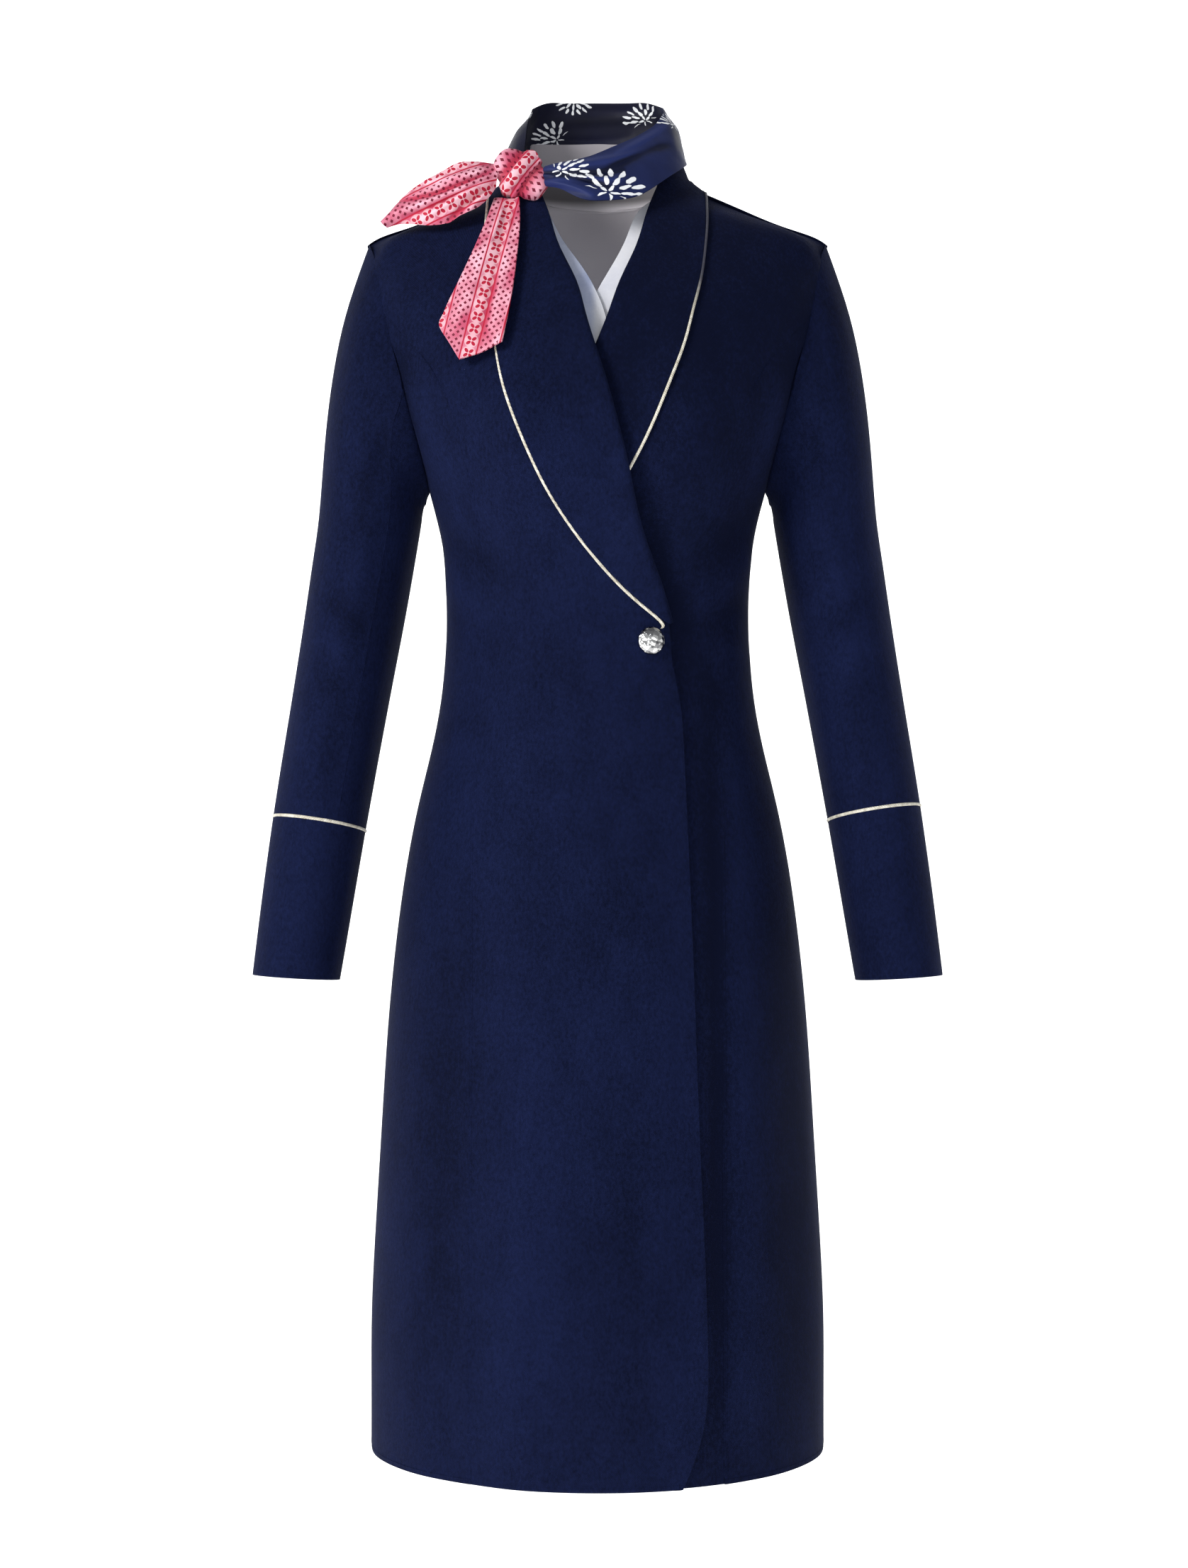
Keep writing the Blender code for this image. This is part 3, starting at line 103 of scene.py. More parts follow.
Lamp = namedtuple("Lamp", "name place aim size power color")
LAMPS = (
    Lamp("key", (-2.1, -2.0, 0.9), (0.0, 0.0, -0.45), 1.2, 75.0, (1.0, 0.985, 0.965)),
    Lamp("front", (0.1, -3.0, -0.05), (0.0, 0.0, -0.40), 0.7, 8.0, (0.95, 0.97, 1.0)),
    Lamp("rim_left", (-1.6, 1.3, 0.5), (0.0, 0.0, -0.5), 0.9, 5.0, (0.95, 0.97, 1.0)),
    Lamp("rim_right", (1.7, 1.3, 0.4), (0.0, 0.0, -0.5), 0.9, 4.0, (0.95, 0.97, 1.0)),
)


def make_lights():
    for lamp in LAMPS:
        data = bpy.data.lights.new(lamp.name, "AREA")
        data.shape = "DISK"
        data.size = lamp.size
        data.energy = lamp.power
        data.color = lamp.color
        light = bpy.data.objects.new(lamp.name, data)
        light.location = lamp.place
        beam = Vector(lamp.aim) - Vector(lamp.place)
        light.rotation_euler = beam.to_track_quat("-Z", "Y").to_euler()
        bpy.context.scene.collection.objects.link(light)
    world = bpy.data.worlds.new("soft_sky")
    world.use_nodes = True
    sky = world.node_tree.nodes["Background"]
    sky.inputs["Color"].default_value = (*SKY_COLOR, 1.0)
    sky.inputs["Strength"].default_value = SKY_STRENGTH
    bpy.context.scene.world = world
    bpy.context.scene.view_settings.view_transform = "Standard"


# ---------------------------------------------------------------- patterns as arithmetic


class Field:
    """A value in a material's nodes, so that a pattern is written as arithmetic."""

    def __init__(self, tree, socket):
        self.tree = tree
        self.socket = socket

    def apply(self, operation, *others):
        node = self.tree.nodes.new("ShaderNodeMath")
        node.operation = operation
        for i, value in enumerate((self,) + others):
            if isinstance(value, Field):
                self.tree.links.new(value.socket, node.inputs[i])
            else:
                node.inputs[i].default_value = value
        return Field(self.tree, node.outputs[0])

    def __add__(self, other):
        return self.apply("ADD", other)

    def __sub__(self, other):
        return self.apply("SUBTRACT", other)

    def __mul__(self, other):
        return self.apply("MULTIPLY", other)

    def __truediv__(self, other):
        return self.apply("DIVIDE", other)

    def plus(self, other):
        """Two masks laid over each other: the larger value."""
        return self.apply("MAXIMUM", other)

    def turn(self, across):
        """The angle of the place with this value upward and the other across."""
        return self.apply("ARCTAN2", across)

    def wrapped(self, step):
        """The distance to the nearest whole step, from -step/2 to step/2."""
        return (self + step / 2).apply("FLOORED_MODULO", step) - step / 2

    def inside(self, edge, soft):
        """1 where the value is under the edge and 0 above it, over a soft width."""
        node = self.tree.nodes.new("ShaderNodeMapRange")
        node.interpolation_type = "SMOOTHSTEP"
        self.tree.links.new(self.socket, node.inputs["Value"])
        node.inputs["From Min"].default_value = edge - soft
        node.inputs["From Max"].default_value = edge + soft
        node.inputs["To Min"].default_value = 1.0
        node.inputs["To Max"].default_value = 0.0
        return Field(self.tree, node.outputs["Result"])


FOLD_SHADE = "fold_shade"       # on each point: -1 in a trough, 1 on a ridge, lowered further on cloth given painted shade; the materials paint shade and highlights from it


class Paint:
    """One procedural material; u and v run over the cloth in metres."""

    def __init__(self, name, slot, roughness, metallic=0.0):
        self.material = bpy.data.materials.new(name)
        self.material.use_nodes = True
        self.slot = slot
        self.tree = self.material.node_tree
        self.shader = self.tree.nodes["Principled BSDF"]
        self.shader.inputs["Roughness"].default_value = roughness
        self.shader.inputs["Metallic"].default_value = metallic
        self.coords = self.tree.nodes.new("ShaderNodeTexCoord")
        split = self.tree.nodes.new("ShaderNodeSeparateXYZ")
        self.tree.links.new(self.coords.outputs["UV"], split.inputs[0])
        self.u = Field(self.tree, split.outputs["X"])
        self.v = Field(self.tree, split.outputs["Y"])
        place = self.tree.nodes.new("ShaderNodeSeparateXYZ")
        self.tree.links.new(self.coords.outputs["Object"], place.inputs[0])
        self.x = Field(self.tree, place.outputs["X"])
        self.y = Field(self.tree, place.outputs["Y"])
        self.z = Field(self.tree, place.outputs["Z"])
        fold_shade = self.tree.nodes.new("ShaderNodeAttribute")
        fold_shade.attribute_name = FOLD_SHADE
        self.fold_shade = Field(self.tree, fold_shade.outputs["Fac"])

    def noise(self, scale, detail=3.0, rough=0.5, stretch=(1.0, 1.0, 1.0)):
        node = self.tree.nodes.new("ShaderNodeTexNoise")
        node.inputs["Scale"].default_value = scale
        node.inputs["Detail"].default_value = detail
        node.inputs["Roughness"].default_value = rough
        mapping = self.tree.nodes.new("ShaderNodeMapping")
        mapping.inputs["Scale"].default_value = stretch
        self.tree.links.new(self.coords.outputs["Object"], mapping.inputs["Vector"])
        self.tree.links.new(mapping.outputs["Vector"], node.inputs["Vector"])
        return Field(self.tree, node.outputs["Fac"])

    def cells(self, scale):
        """Small flat facets: how far each point is from its facet's middle, and a random value for
        each facet, which the button uses for painted reflections.
        """
        node = self.tree.nodes.new("ShaderNodeTexVoronoi")
        node.inputs["Scale"].default_value = scale
        self.tree.links.new(self.coords.outputs["Object"], node.inputs["Vector"])
        split = self.tree.nodes.new("ShaderNodeSeparateColor")
        self.tree.links.new(node.outputs["Color"], split.inputs[0])
        return Field(self.tree, node.outputs["Distance"]), Field(self.tree, split.outputs[0])

    def blend(self, share, first, second):
        """A colour between two; each is a triple or the output of an earlier blend."""
        node = self.tree.nodes.new("ShaderNodeMix")
        node.data_type = "RGBA"
        self.tree.links.new(share.socket, node.inputs["Factor"])
        for key, color in (("A", first), ("B", second)):
            socket = [s for s in node.inputs if s.name == key and s.type == "RGBA"][0]
            if isinstance(color, tuple):
                socket.default_value = (*color, 1.0)
            else:
                self.tree.links.new(color, socket)
        return [s for s in node.outputs if s.type == "RGBA"][0]

    def color(self, socket):
        self.tree.links.new(socket, self.shader.inputs["Base Color"])

    def roughness(self, field):
        self.tree.links.new(field.socket, self.shader.inputs["Roughness"])

    def bump(self, height, distance, strength=1.0):
        node = self.tree.nodes.new("ShaderNodeBump")
        node.inputs["Distance"].default_value = distance
        node.inputs["Strength"].default_value = strength
        self.tree.links.new(height.socket, node.inputs["Height"])
        self.tree.links.new(node.outputs["Normal"], self.shader.inputs["Normal"])

    def sheen(self, weight, roughness, tint):
        self.shader.inputs["Sheen Weight"].default_value = weight
        self.shader.inputs["Sheen Roughness"].default_value = roughness
        self.shader.inputs["Sheen Tint"].default_value = (*tint, 1.0)


NAVY_DEEP = (0.0016, 0.0032, 0.0155)
NAVY_LIGHT = (0.0064, 0.0110, 0.0470)
TWILL_PITCH = 0.0013
SHADED_TOP = 0.20           # painted shade: the coat is painted darker down to here under the neck
WOOL_SLOT, PIPING_SLOT, BLOUSE_SLOT, BUTTON_SLOT = "coat", "piping", "blouse", "button"
NAVY_SILK_SLOT, PINK_SILK_SLOT = "scarf_navy", "scarf_pink"


def wool_paint():
    """Smooth navy wool: a fine twill, a short nap and slow changes of tone, with painted shade in
    creases and under the neck and a painted highlight on ridges.
    """
    paint = Paint("navy_wool", WOOL_SLOT, 0.85)
    slow = paint.noise(6.0, 2.0)
    patches = paint.noise(45.0, 4.0, 0.6, (1.0, 1.0, 0.5))
    nap = paint.noise(430.0, 4.0, 0.8, (1.0, 1.0, 0.6))
    tone = (slow - 0.5) * 0.5 + (patches - 0.5) * 0.7 + (nap - 0.5) * 2.2 + 0.5
    shaded_top = (paint.z * -1.0).inside(SHADED_TOP, 0.10) * -0.22
    # painted shade in troughs and under the neck, painted highlight on ridges
    paint.color(paint.blend(tone + paint.fold_shade * 0.40 + shaded_top, NAVY_DEEP, NAVY_LIGHT))
    rib = ((paint.u + paint.v) * (2 * math.pi / TWILL_PITCH)).apply("SINE")
    paint.bump(rib * 0.3 + nap * 1.4, 0.0004, 0.6)
    paint.sheen(0.02, 0.4, (0.30, 0.38, 0.95))
    paint.shader.inputs["Specular IOR Level"].default_value = 0.06
    return paint


BLOUSE_PITCH = 0.0007
INSIDE_DEPTH = 0.004        # what lies behind this is the inside of the blouse's back
OVERLAP_LINE = -0.003       # painted shade: the front on the knot's side is painted as a shaded, bluer copy, up to this line
STAND_FOOT = -0.008         # the foot of the collar's stand
STAND_MIDDLE = 0.018        # under this the stand is painted with the scarf's shadow
# painted shade and painted light: shaded and lit copies of the shirting
SHIRT_SHADED = ((0.34, 0.40, 0.62), (0.74, 0.78, 0.91))
SHIRT_LIT = ((0.74, 0.76, 0.86), (0.98, 0.98, 0.99))
BACK_INSIDE = ((0.86, 0.82, 0.88), (0.97, 0.93, 0.98))
# painted shade: the inside of the stand is painted grey
STAND_INSIDE_SHADE = (0.36, 0.34, 0.37)
# painted shadow of the scarf on the stand
STAND_SCARF_SHADOW = (0.115, 0.108, 0.118)


def blouse_paint():
    """Pale blue-grey shirting with a soft shine and faint rumples, with painted shade in creases and
    on the front by the knot, and painted shade and the scarf's painted shadow inside the stand.
    """
    paint = Paint("pale_shirting", BLOUSE_SLOT, 0.5)
    slow = paint.noise(22.0, 3.0)
    fine = paint.noise(420.0, 2.0)
    tone = (slow - 0.5) * 1.6 + fine * 0.3 + 0.35
    # painted shade in troughs, painted highlight on ridges
    tone = tone + paint.fold_shade * 0.5
    shaded = paint.blend(tone, *SHIRT_SHADED)
    lit_shirt = paint.blend(tone, *SHIRT_LIT)
    cloth = paint.blend(paint.x.inside(OVERLAP_LINE, 0.004), lit_shirt, shaded)
    stand = paint.blend(paint.z.inside(STAND_MIDDLE, 0.012), STAND_INSIDE_SHADE, STAND_SCARF_SHADOW)
    back = paint.blend(slow, *BACK_INSIDE)
    inside = paint.blend(paint.z.inside(STAND_FOOT, 0.006), stand, back)
    paint.color(paint.blend(paint.y.inside(INSIDE_DEPTH, 0.006), inside, cloth))
    warp = (paint.u * (2 * math.pi / BLOUSE_PITCH)).apply("SINE")
    weft = (paint.v * (2 * math.pi / BLOUSE_PITCH)).apply("SINE")
    rumples = paint.noise(45.0, 2.0)
    paint.bump(warp * weft * 0.25 + rumples * 6.0, 0.0003, 0.6)
    paint.sheen(0.1, 0.3, (0.9, 0.93, 1.0))
    return paint


PIPING_TWIST = 0.0022
PIPING_SHADE_HEIGHT = -0.112       # painted shade: above it the left lapel's piping, where it turns under, is painted dark
PIPING_SHADE_SIDE = 0.03           # to the wearer's left of this
PIPING_TONES = ((0.48, 0.44, 0.35), (0.94, 0.91, 0.80))
PIPING_PAINTED_SHADE = (0.020, 0.023, 0.050)


def piping_paint():
    """Cream satin over a cord, cut on the bias, so its threads run slantwise; above the chest on the
    wearer's left it is painted dark as painted shade.
    """
    paint = Paint("cream_piping", PIPING_SLOT, 0.42)
    worn = paint.noise(240.0, 3.0)
    cream = paint.blend((worn - 0.3) * 2.0, *PIPING_TONES)
    high = (paint.z * -1.0).inside(-PIPING_SHADE_HEIGHT, 0.022)
    piping_shade = high * (paint.x * -1.0).inside(-PIPING_SHADE_SIDE, 0.01)
    # painted shade on the upper piping at the wearer's left
    paint.color(paint.blend(piping_shade * 0.95, cream, PIPING_PAINTED_SHADE))
    paint.shader.inputs["Specular IOR Level"].default_value = 0.10
    twist = ((paint.u + paint.v) * (2 * math.pi / PIPING_TWIST)).apply("SINE")
    paint.bump(twist, 0.0003, 0.6)
    paint.sheen(0.02, 0.3, (1.0, 0.97, 0.85))
    return paint


BUTTON_FACETS = 260.0       # to a metre
BUTTON_REFLECTIONS = ((0.13, 0.13, 0.14), (0.92, 0.92, 0.90))


def button_paint():
    """Polished silver-coloured metal, hammered into small facets, each painted dark or bright as a
    painted reflection.
    """
    paint = Paint("silver_button", BUTTON_SLOT, 0.2, 1.0)
    reach, tone = paint.cells(BUTTON_FACETS)
    # painted reflections: each facet dark or bright
    paint.color(paint.blend(tone, *BUTTON_REFLECTIONS))
    scuffs = paint.noise(1400.0, 3.0, 0.6)
    paint.roughness(scuffs * 0.16 + 0.10)
    paint.bump(reach * -1.0, 0.0012, 0.9)
    return paint


Ring = namedtuple("Ring", "petals radius length width reach")
SPRAY = (       # a fan of petals round a small heart; reach is half the fan's angle
    Ring(5, 0.0040, 0.0028, 0.0011, 2.6),
    Ring(11, 0.0108, 0.0040, 0.0015, 1.65),
    Ring(17, 0.0182, 0.0042, 0.0015, 1.20),
)
PETAL_WANDER = 0.0034       # how far the petals stray from even fans
SPRAY_FLATNESS = 0.85
Bloom = namedtuple("Bloom", "u v degrees size")
BLOOMS = (      # the sprays on the scarf's navy side
    Bloom(-0.174, 0.062, 35, 1.0), Bloom(0.166, 0.081, 60, 0.9), Bloom(-0.186, 0.103, -90, 0.8),
    Bloom(-0.030, -0.004, 40, 1.05), Bloom(0.008, -0.027, 62, 1.35), Bloom(0.104, 0.058, 120, 1.0),
    Bloom(-0.118, 0.072, 150, 0.9), Bloom(-0.106, 0.028, 200, 0.8),
    Bloom(0.128, 0.012, -60, 0.8), Bloom(-0.142, 0.020, -40, 0.6), Bloom(0.203, 0.046, 90, 0.55),
)


def spray_mask(paint):
    """White flower sprays: fans of petals that open each in its own direction."""
    mask = None
    wander_across = (paint.noise(150.0, 1.0) - 0.5) * PETAL_WANDER
    wander_along = (paint.noise(170.0, 1.0) - 0.5) * PETAL_WANDER
    for bloom in BLOOMS:
        across = (paint.u + wander_across - bloom.u) / bloom.size
        along = (paint.v + wander_along - bloom.v) / (bloom.size * SPRAY_FLATNESS)
        radius = (across * across + along * along).apply("SQRT")
        angle = (along.turn(across) - math.radians(bloom.degrees)).wrapped(2 * math.pi)
        for ring in SPRAY:
            local = angle.wrapped(2 * math.pi / ring.petals)
            ahead = (radius * local.apply("COSINE") - ring.radius) / ring.length
            aside = radius * local.apply("SINE") / ring.width
            petal = (ahead * ahead + aside * aside).inside(1.0, 0.15)
            petal = petal * angle.apply("ABSOLUTE").inside(ring.reach, 0.03)
            mask = petal if mask is None else mask.plus(petal)
    return mask


SILK_PITCH = 0.00055


def silk_finish(paint):
    weave = ((paint.u - paint.v) * (2 * math.pi / SILK_PITCH)).apply("SINE")
    rumples = paint.noise(90.0, 2.0)
    paint.bump(weave * 0.15 + rumples * 3.0, 0.0003, 0.4)
    paint.sheen(0.02, 0.3, (0.8, 0.85, 1.0))
    paint.shader.inputs["Specular IOR Level"].default_value = 0.18


SHADED_SILK_DEPTH = 0.030       # painted shade: the stretch behind the neck is painted as out of the light
SHADED_SILK_SIDE = 0.052        # and so is the one by the knot
# painted light and painted shade: lit and shaded copies of the navy silk
SILK_LIT = ((0.002, 0.004, 0.022), (0.013, 0.022, 0.100))
SILK_SHADED = ((0.002, 0.0024, 0.009), (0.006, 0.007, 0.028))
SPRAY_WHITE = (0.80, 0.82, 0.85)


def navy_silk_paint():
    paint = Paint("navy_silk", NAVY_SILK_SLOT, 0.46)
    slow = paint.noise(34.0, 2.0)
    # painted shade in the pleats' troughs, painted highlight on ridges
    lit = paint.blend(slow + paint.fold_shade * 1.3, *SILK_LIT)
    shaded = paint.blend(slow + paint.fold_shade * 0.4, *SILK_SHADED)
    in_front = paint.y.inside(SHADED_SILK_DEPTH, 0.012)
    in_light = in_front * (paint.x * -1.0).inside(SHADED_SILK_SIDE, 0.006)
    ground = paint.blend(in_light, shaded, lit)
    paint.color(paint.blend(spray_mask(paint), ground, SPRAY_WHITE))
    silk_finish(paint)
    return paint


ROSETTE_SPACING = 0.0105
PETAL_PLACE = 0.0028            # the middle of a rosette's petal, from the rosette's
PETAL_HALF_LENGTH = 0.0021
PETAL_HALF_WIDTH = 0.0013
ROSETTE_REACH = 0.0056
LOZENGE_SPACING = 0.0062        # along a row; the rows are half of it apart
LOZENGE_REACH = 0.00145
STRIPE_SPACING = 0.0300         # rosette rows lie between pairs of plain stripes
STRIPE_PLACE = 0.0064           # a stripe's middle, from the middle of the row
STRIPE_HALF_WIDTH = 0.0006
LOZENGE_START = 0.0082          # lozenges fill what lies past this
ROSE_DEEP = (0.150, 0.006, 0.026)
ROSE_RED = (0.43, 0.012, 0.040)
ROSE_GROUND = ((0.50, 0.080, 0.150), (0.86, 0.46, 0.56))
ROSE_PALE = (0.88, 0.62, 0.66)


def pink_silk_paint():
    """A generic design: rows of four-petal rosettes, thin stripes, and small lozenges between, with
    painted shade in folds and a painted highlight on ridges.
    """
    paint = Paint("rose_silk", PINK_SILK_SLOT, 0.48)
    slow = paint.noise(52.0, 2.0)
    # painted shade and highlight by the folds; the troughs turn deep red as painted shade
    ground = paint.blend((slow - 0.35) * 2.4 + paint.fold_shade * 0.5, *ROSE_GROUND)
    ground = paint.blend((paint.fold_shade * -0.85 - 0.20).plus(0.0), ground, ROSE_RED)
    lane = paint.u.wrapped(STRIPE_SPACING)
    along = paint.v.wrapped(ROSETTE_SPACING)
    radius = (lane * lane + along * along).apply("SQRT")
    angle = (along.turn(lane) + math.pi / 4).wrapped(math.pi / 2)
    ahead = (radius * angle.apply("COSINE") - PETAL_PLACE) / PETAL_HALF_LENGTH
    aside = radius * angle.apply("SINE") / PETAL_HALF_WIDTH
    rosette = (ahead * ahead + aside * aside).inside(1.0, 0.15)
    from_stripe = (lane.apply("ABSOLUTE") - STRIPE_PLACE).apply("ABSOLUTE")
    stripes = from_stripe.inside(STRIPE_HALF_WIDTH, 0.0001)
    row = (paint.v / (LOZENGE_SPACING / 2)).apply("ROUND")
    shifted = paint.u + row.apply("FLOORED_MODULO", 2.0) * (LOZENGE_SPACING / 2)
    spot_across = shifted.wrapped(LOZENGE_SPACING).apply("ABSOLUTE")
    spot_along = paint.v.wrapped(LOZENGE_SPACING / 2).apply("ABSOLUTE")
    lozenge = (spot_across + spot_along).inside(LOZENGE_REACH, 0.00015)
    lozenge = lozenge * (lane.apply("ABSOLUTE") * -1.0).inside(-LOZENGE_START, 0.0002)
    pale_heart = (radius.inside(ROSETTE_REACH, 0.0004) * 0.5) * slow.inside(0.9, 0.1)
    softened = paint.blend(pale_heart, ground, ROSE_PALE)
    printed = paint.blend(rosette.plus(stripes), softened, ROSE_RED)
    paint.color(paint.blend(lozenge, printed, ROSE_DEEP))
    silk_finish(paint)
    return paint


# ---------------------------------------------------------------- shells

MERGE = 0.000002
TINY = 0.000001
QUAD_FACE_TURN = math.radians(50)       # two triangles this near to flat make a quad again
QUAD_SHAPE_TURN = math.radians(70)
EDGE_ROUND = 0.0007
THIN_EDGE_ROUND = 0.0003
BUTTON_EDGE_ROUND = 0.0002
SHARP_TURN = 50.0           # degrees; an edge that turns more than this is rounded
LAPEL_SHARP_TURN = 75.0
BUTTON_SHARP_TURN = 60.0
LEVELS = 2                  # of subdivision
SCARF_LEVELS = 3
FIT_ROUNDS = 3


def evaluated(mesh, *modifiers):
    """The mesh with modifiers applied; each is a kind and its settings."""
    maker = bpy.data.objects.new("maker", mesh)
    bpy.context.scene.collection.objects.link(maker)
    for kind, settings in modifiers:
        modifier = maker.modifiers.new(kind, kind)
        for name, value in settings.items():
            setattr(modifier, name, value)
    bpy.context.view_layer.update()
    made = bpy.data.meshes.new_from_object(maker.evaluated_get(bpy.context.evaluated_depsgraph_get()))
    bpy.data.objects.remove(maker)
    return made


def subdivided(mesh, levels):
    return evaluated(mesh, ("SUBSURF", {"levels": levels}))


def fine_shell(node, levels=LEVELS, sharp=SHARP_TURN, edge=EDGE_ROUND):
    """A finer copy of a solid that passes through the solid's own points.

    The quads are found again, the edges are rounded, and the faces are subdivided.  Each
    round of fitting moves the coarse points out by what the subdivision draws them in.
    """
    shape = bmesh.new()
    shape.from_mesh(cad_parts[node].data)
    bmesh.ops.remove_doubles(shape, verts=shape.verts, dist=MERGE)
    bmesh.ops.join_triangles(
        shape, faces=shape.faces,
        angle_face_threshold=QUAD_FACE_TURN, angle_shape_threshold=QUAD_SHAPE_TURN,
    )
    coarse = bpy.data.meshes.new(node + "_coarse")
    shape.verts.index_update()
    coarse.from_pydata(
        [vertex.co.copy() for vertex in shape.verts], [],
        [[vertex.index for vertex in face.verts] for face in shape.faces],
    )
    shape.free()
    if edge:
        rounding = {
            "width": edge, "segments": 2, "limit_method": "ANGLE", "angle_limit": math.radians(sharp),
        }
        coarse = evaluated(coarse, ("BEVEL", rounding))
    goal = read_points(coarse)
    cage = goal.copy()
    for _ in range(FIT_ROUNDS):
        trial = subdivided(coarse, 1)
        cage += goal - read_points(trial)[:len(goal)]
        write_points(coarse, cage)
        bpy.data.meshes.remove(trial)
    fine = subdivided(coarse, levels)
    bpy.data.meshes.remove(coarse)
    return fine


def read_points(mesh):
    flat = np.empty(len(mesh.vertices) * 3)
    mesh.vertices.foreach_get("co", flat)
    return flat.reshape(-1, 3)


def write_points(mesh, points):
    mesh.vertices.foreach_set("co", points.ravel())
    mesh.update()


def wrap_map(mesh, turns, heights, radius):
    """Lay u round an axis, in metres of cloth, and v up it; no face is split by the wrap."""
    layer = mesh.uv_layers.new(name="cloth")
    period = 2 * math.pi
    for polygon in mesh.polygons:
        first = turns[mesh.loops[polygon.loop_start].vertex_index]
        for loop in polygon.loop_indices:
            spot = mesh.loops[loop].vertex_index
            turn = turns[spot] - first
            turn -= period * round(turn / period)
            layer.data[loop].uv = ((first + turn) * radius, heights[spot])


# ---------------------------------------------------------------- creases

Crease = namedtuple("Crease", "face x0 z0 x1 z1 bow width depth")
BODY_CREASES = (        # places seen from the front, also for those on the back
    Crease("front", 0.094, -0.400, 0.097, -1.050, 0.002, 0.0085, -0.0030),
    Crease("front", 0.112, -0.420, 0.120, -1.040, 0.004, 0.0150, 0.0018),
    Crease("front", 0.031, -0.270, 0.074, -0.440, 0.0095, 0.0110, -0.0024),
    Crease("front", -0.140, -0.300, -0.070, -0.345, 0.004, 0.0090, -0.0014),
    Crease("front", -0.136, -0.330, -0.085, -0.372, -0.003, 0.0080, 0.0011),
    Crease("front", -0.130, -0.455, -0.088, -0.468, 0.003, 0.0075, -0.0012),
    Crease("front", -0.134, -0.480, -0.100, -0.486, 0.002, 0.0080, 0.0009),
    Crease("front", 0.140, -0.262, 0.072, -0.335, 0.006, 0.0110, -0.0018),
    Crease("front", 0.142, -0.300, 0.080, -0.366, 0.004, 0.0090, 0.0014),
    Crease("front", 0.130, -0.350, 0.076, -0.386, 0.002, 0.0080, -0.0011),
    Crease("front", 0.132, -0.405, 0.084, -0.398, -0.003, 0.0075, 0.0010),
    Crease("front", -0.165, -0.150, -0.150, -0.255, -0.006, 0.0110, -0.0026),
    Crease("front", 0.165, -0.150, 0.150, -0.258, 0.006, 0.0110, -0.0028),
    Crease("front", -0.148, -0.180, -0.120, -0.262, -0.004, 0.0120, 0.0014),
    Crease("front", 0.148, -0.178, 0.121, -0.268, 0.005, 0.0120, 0.0016),
    Crease("front", -0.060, -0.700, -0.066, -1.030, 0.006, 0.0260, 0.0016),
    Crease("front", -0.118, -0.620, -0.128, -1.040, -0.004, 0.0240, -0.0018),
    Crease("front", 0.020, -0.760, 0.024, -1.050, 0.004, 0.0280, -0.0014),
    Crease("front", 0.155, -0.600, 0.160, -1.045, 0.003, 0.0180, -0.0016),
    Crease("back", -0.150, -0.160, -0.095, -0.250, -0.006, 0.0120, -0.0024),
    Crease("back", 0.150, -0.160, 0.098, -0.245, 0.006, 0.0120, -0.0022),
    Crease("back", -0.118, -0.330, -0.030, -0.356, 0.006, 0.0090, -0.0020),
    Crease("back", 0.112, -0.322, 0.035, -0.350, 0.005, 0.0085, -0.0018),
    Crease("back", -0.110, -0.362, -0.020, -0.380, -0.003, 0.0090, 0.0016),
    Crease("back", 0.116, -0.355, 0.018, -0.378, 0.004, 0.0100, 0.0017),
    Crease("back", -0.100, -0.396, -0.038, -0.404, 0.003, 0.0080, -0.0014),
    Crease("back", 0.092, -0.392, 0.030, -0.405, 0.002, 0.0080, -0.0012),
    Crease("back", -0.110, -0.600, -0.126, -1.045, -0.004, 0.0240, -0.0024),
    Crease("back", -0.055, -0.640, -0.062, -1.048, 0.005, 0.0260, 0.0022),
    Crease("back", 0.060, -0.620, 0.068, -1.046, -0.004, 0.0250, 0.0020),
    Crease("back", 0.118, -0.580, 0.130, -1.045, 0.005, 0.0240, -0.0022),
)
SLEEVE_CREASES = (      # x is measured along the wearer's left sleeve; the right one mirrors it
    Crease("front", 0.176, -0.215, 0.196, -0.330, 0.004, 0.0085, -0.0022),
    Crease("front", 0.186, -0.235, 0.206, -0.372, -0.003, 0.0080, 0.0016),
    Crease("front", 0.190, -0.385, 0.232, -0.350, 0.004, 0.0080, -0.0016),
    Crease("front", 0.196, -0.412, 0.240, -0.384, 0.003, 0.0080, 0.0013),
    Crease("front", 0.198, -0.438, 0.236, -0.420, 0.002, 0.0075, -0.0012),
    Crease("front", 0.216, -0.440, 0.226, -0.525, -0.002, 0.0090, -0.0014),
    Crease("back", 0.182, -0.190, 0.200, -0.300, 0.004, 0.0095, -0.0022),
    Crease("back", 0.214, -0.120, 0.222, -0.260, 0.003, 0.0110, 0.0016),
    Crease("back", 0.186, -0.400, 0.244, -0.372, -0.004, 0.0085, -0.0018),
    Crease("back", 0.190, -0.428, 0.248, -0.408, -0.003, 0.0080, 0.0014),
    Crease("back", 0.206, -0.450, 0.238, -0.520, 0.003, 0.0090, -0.0014),
)
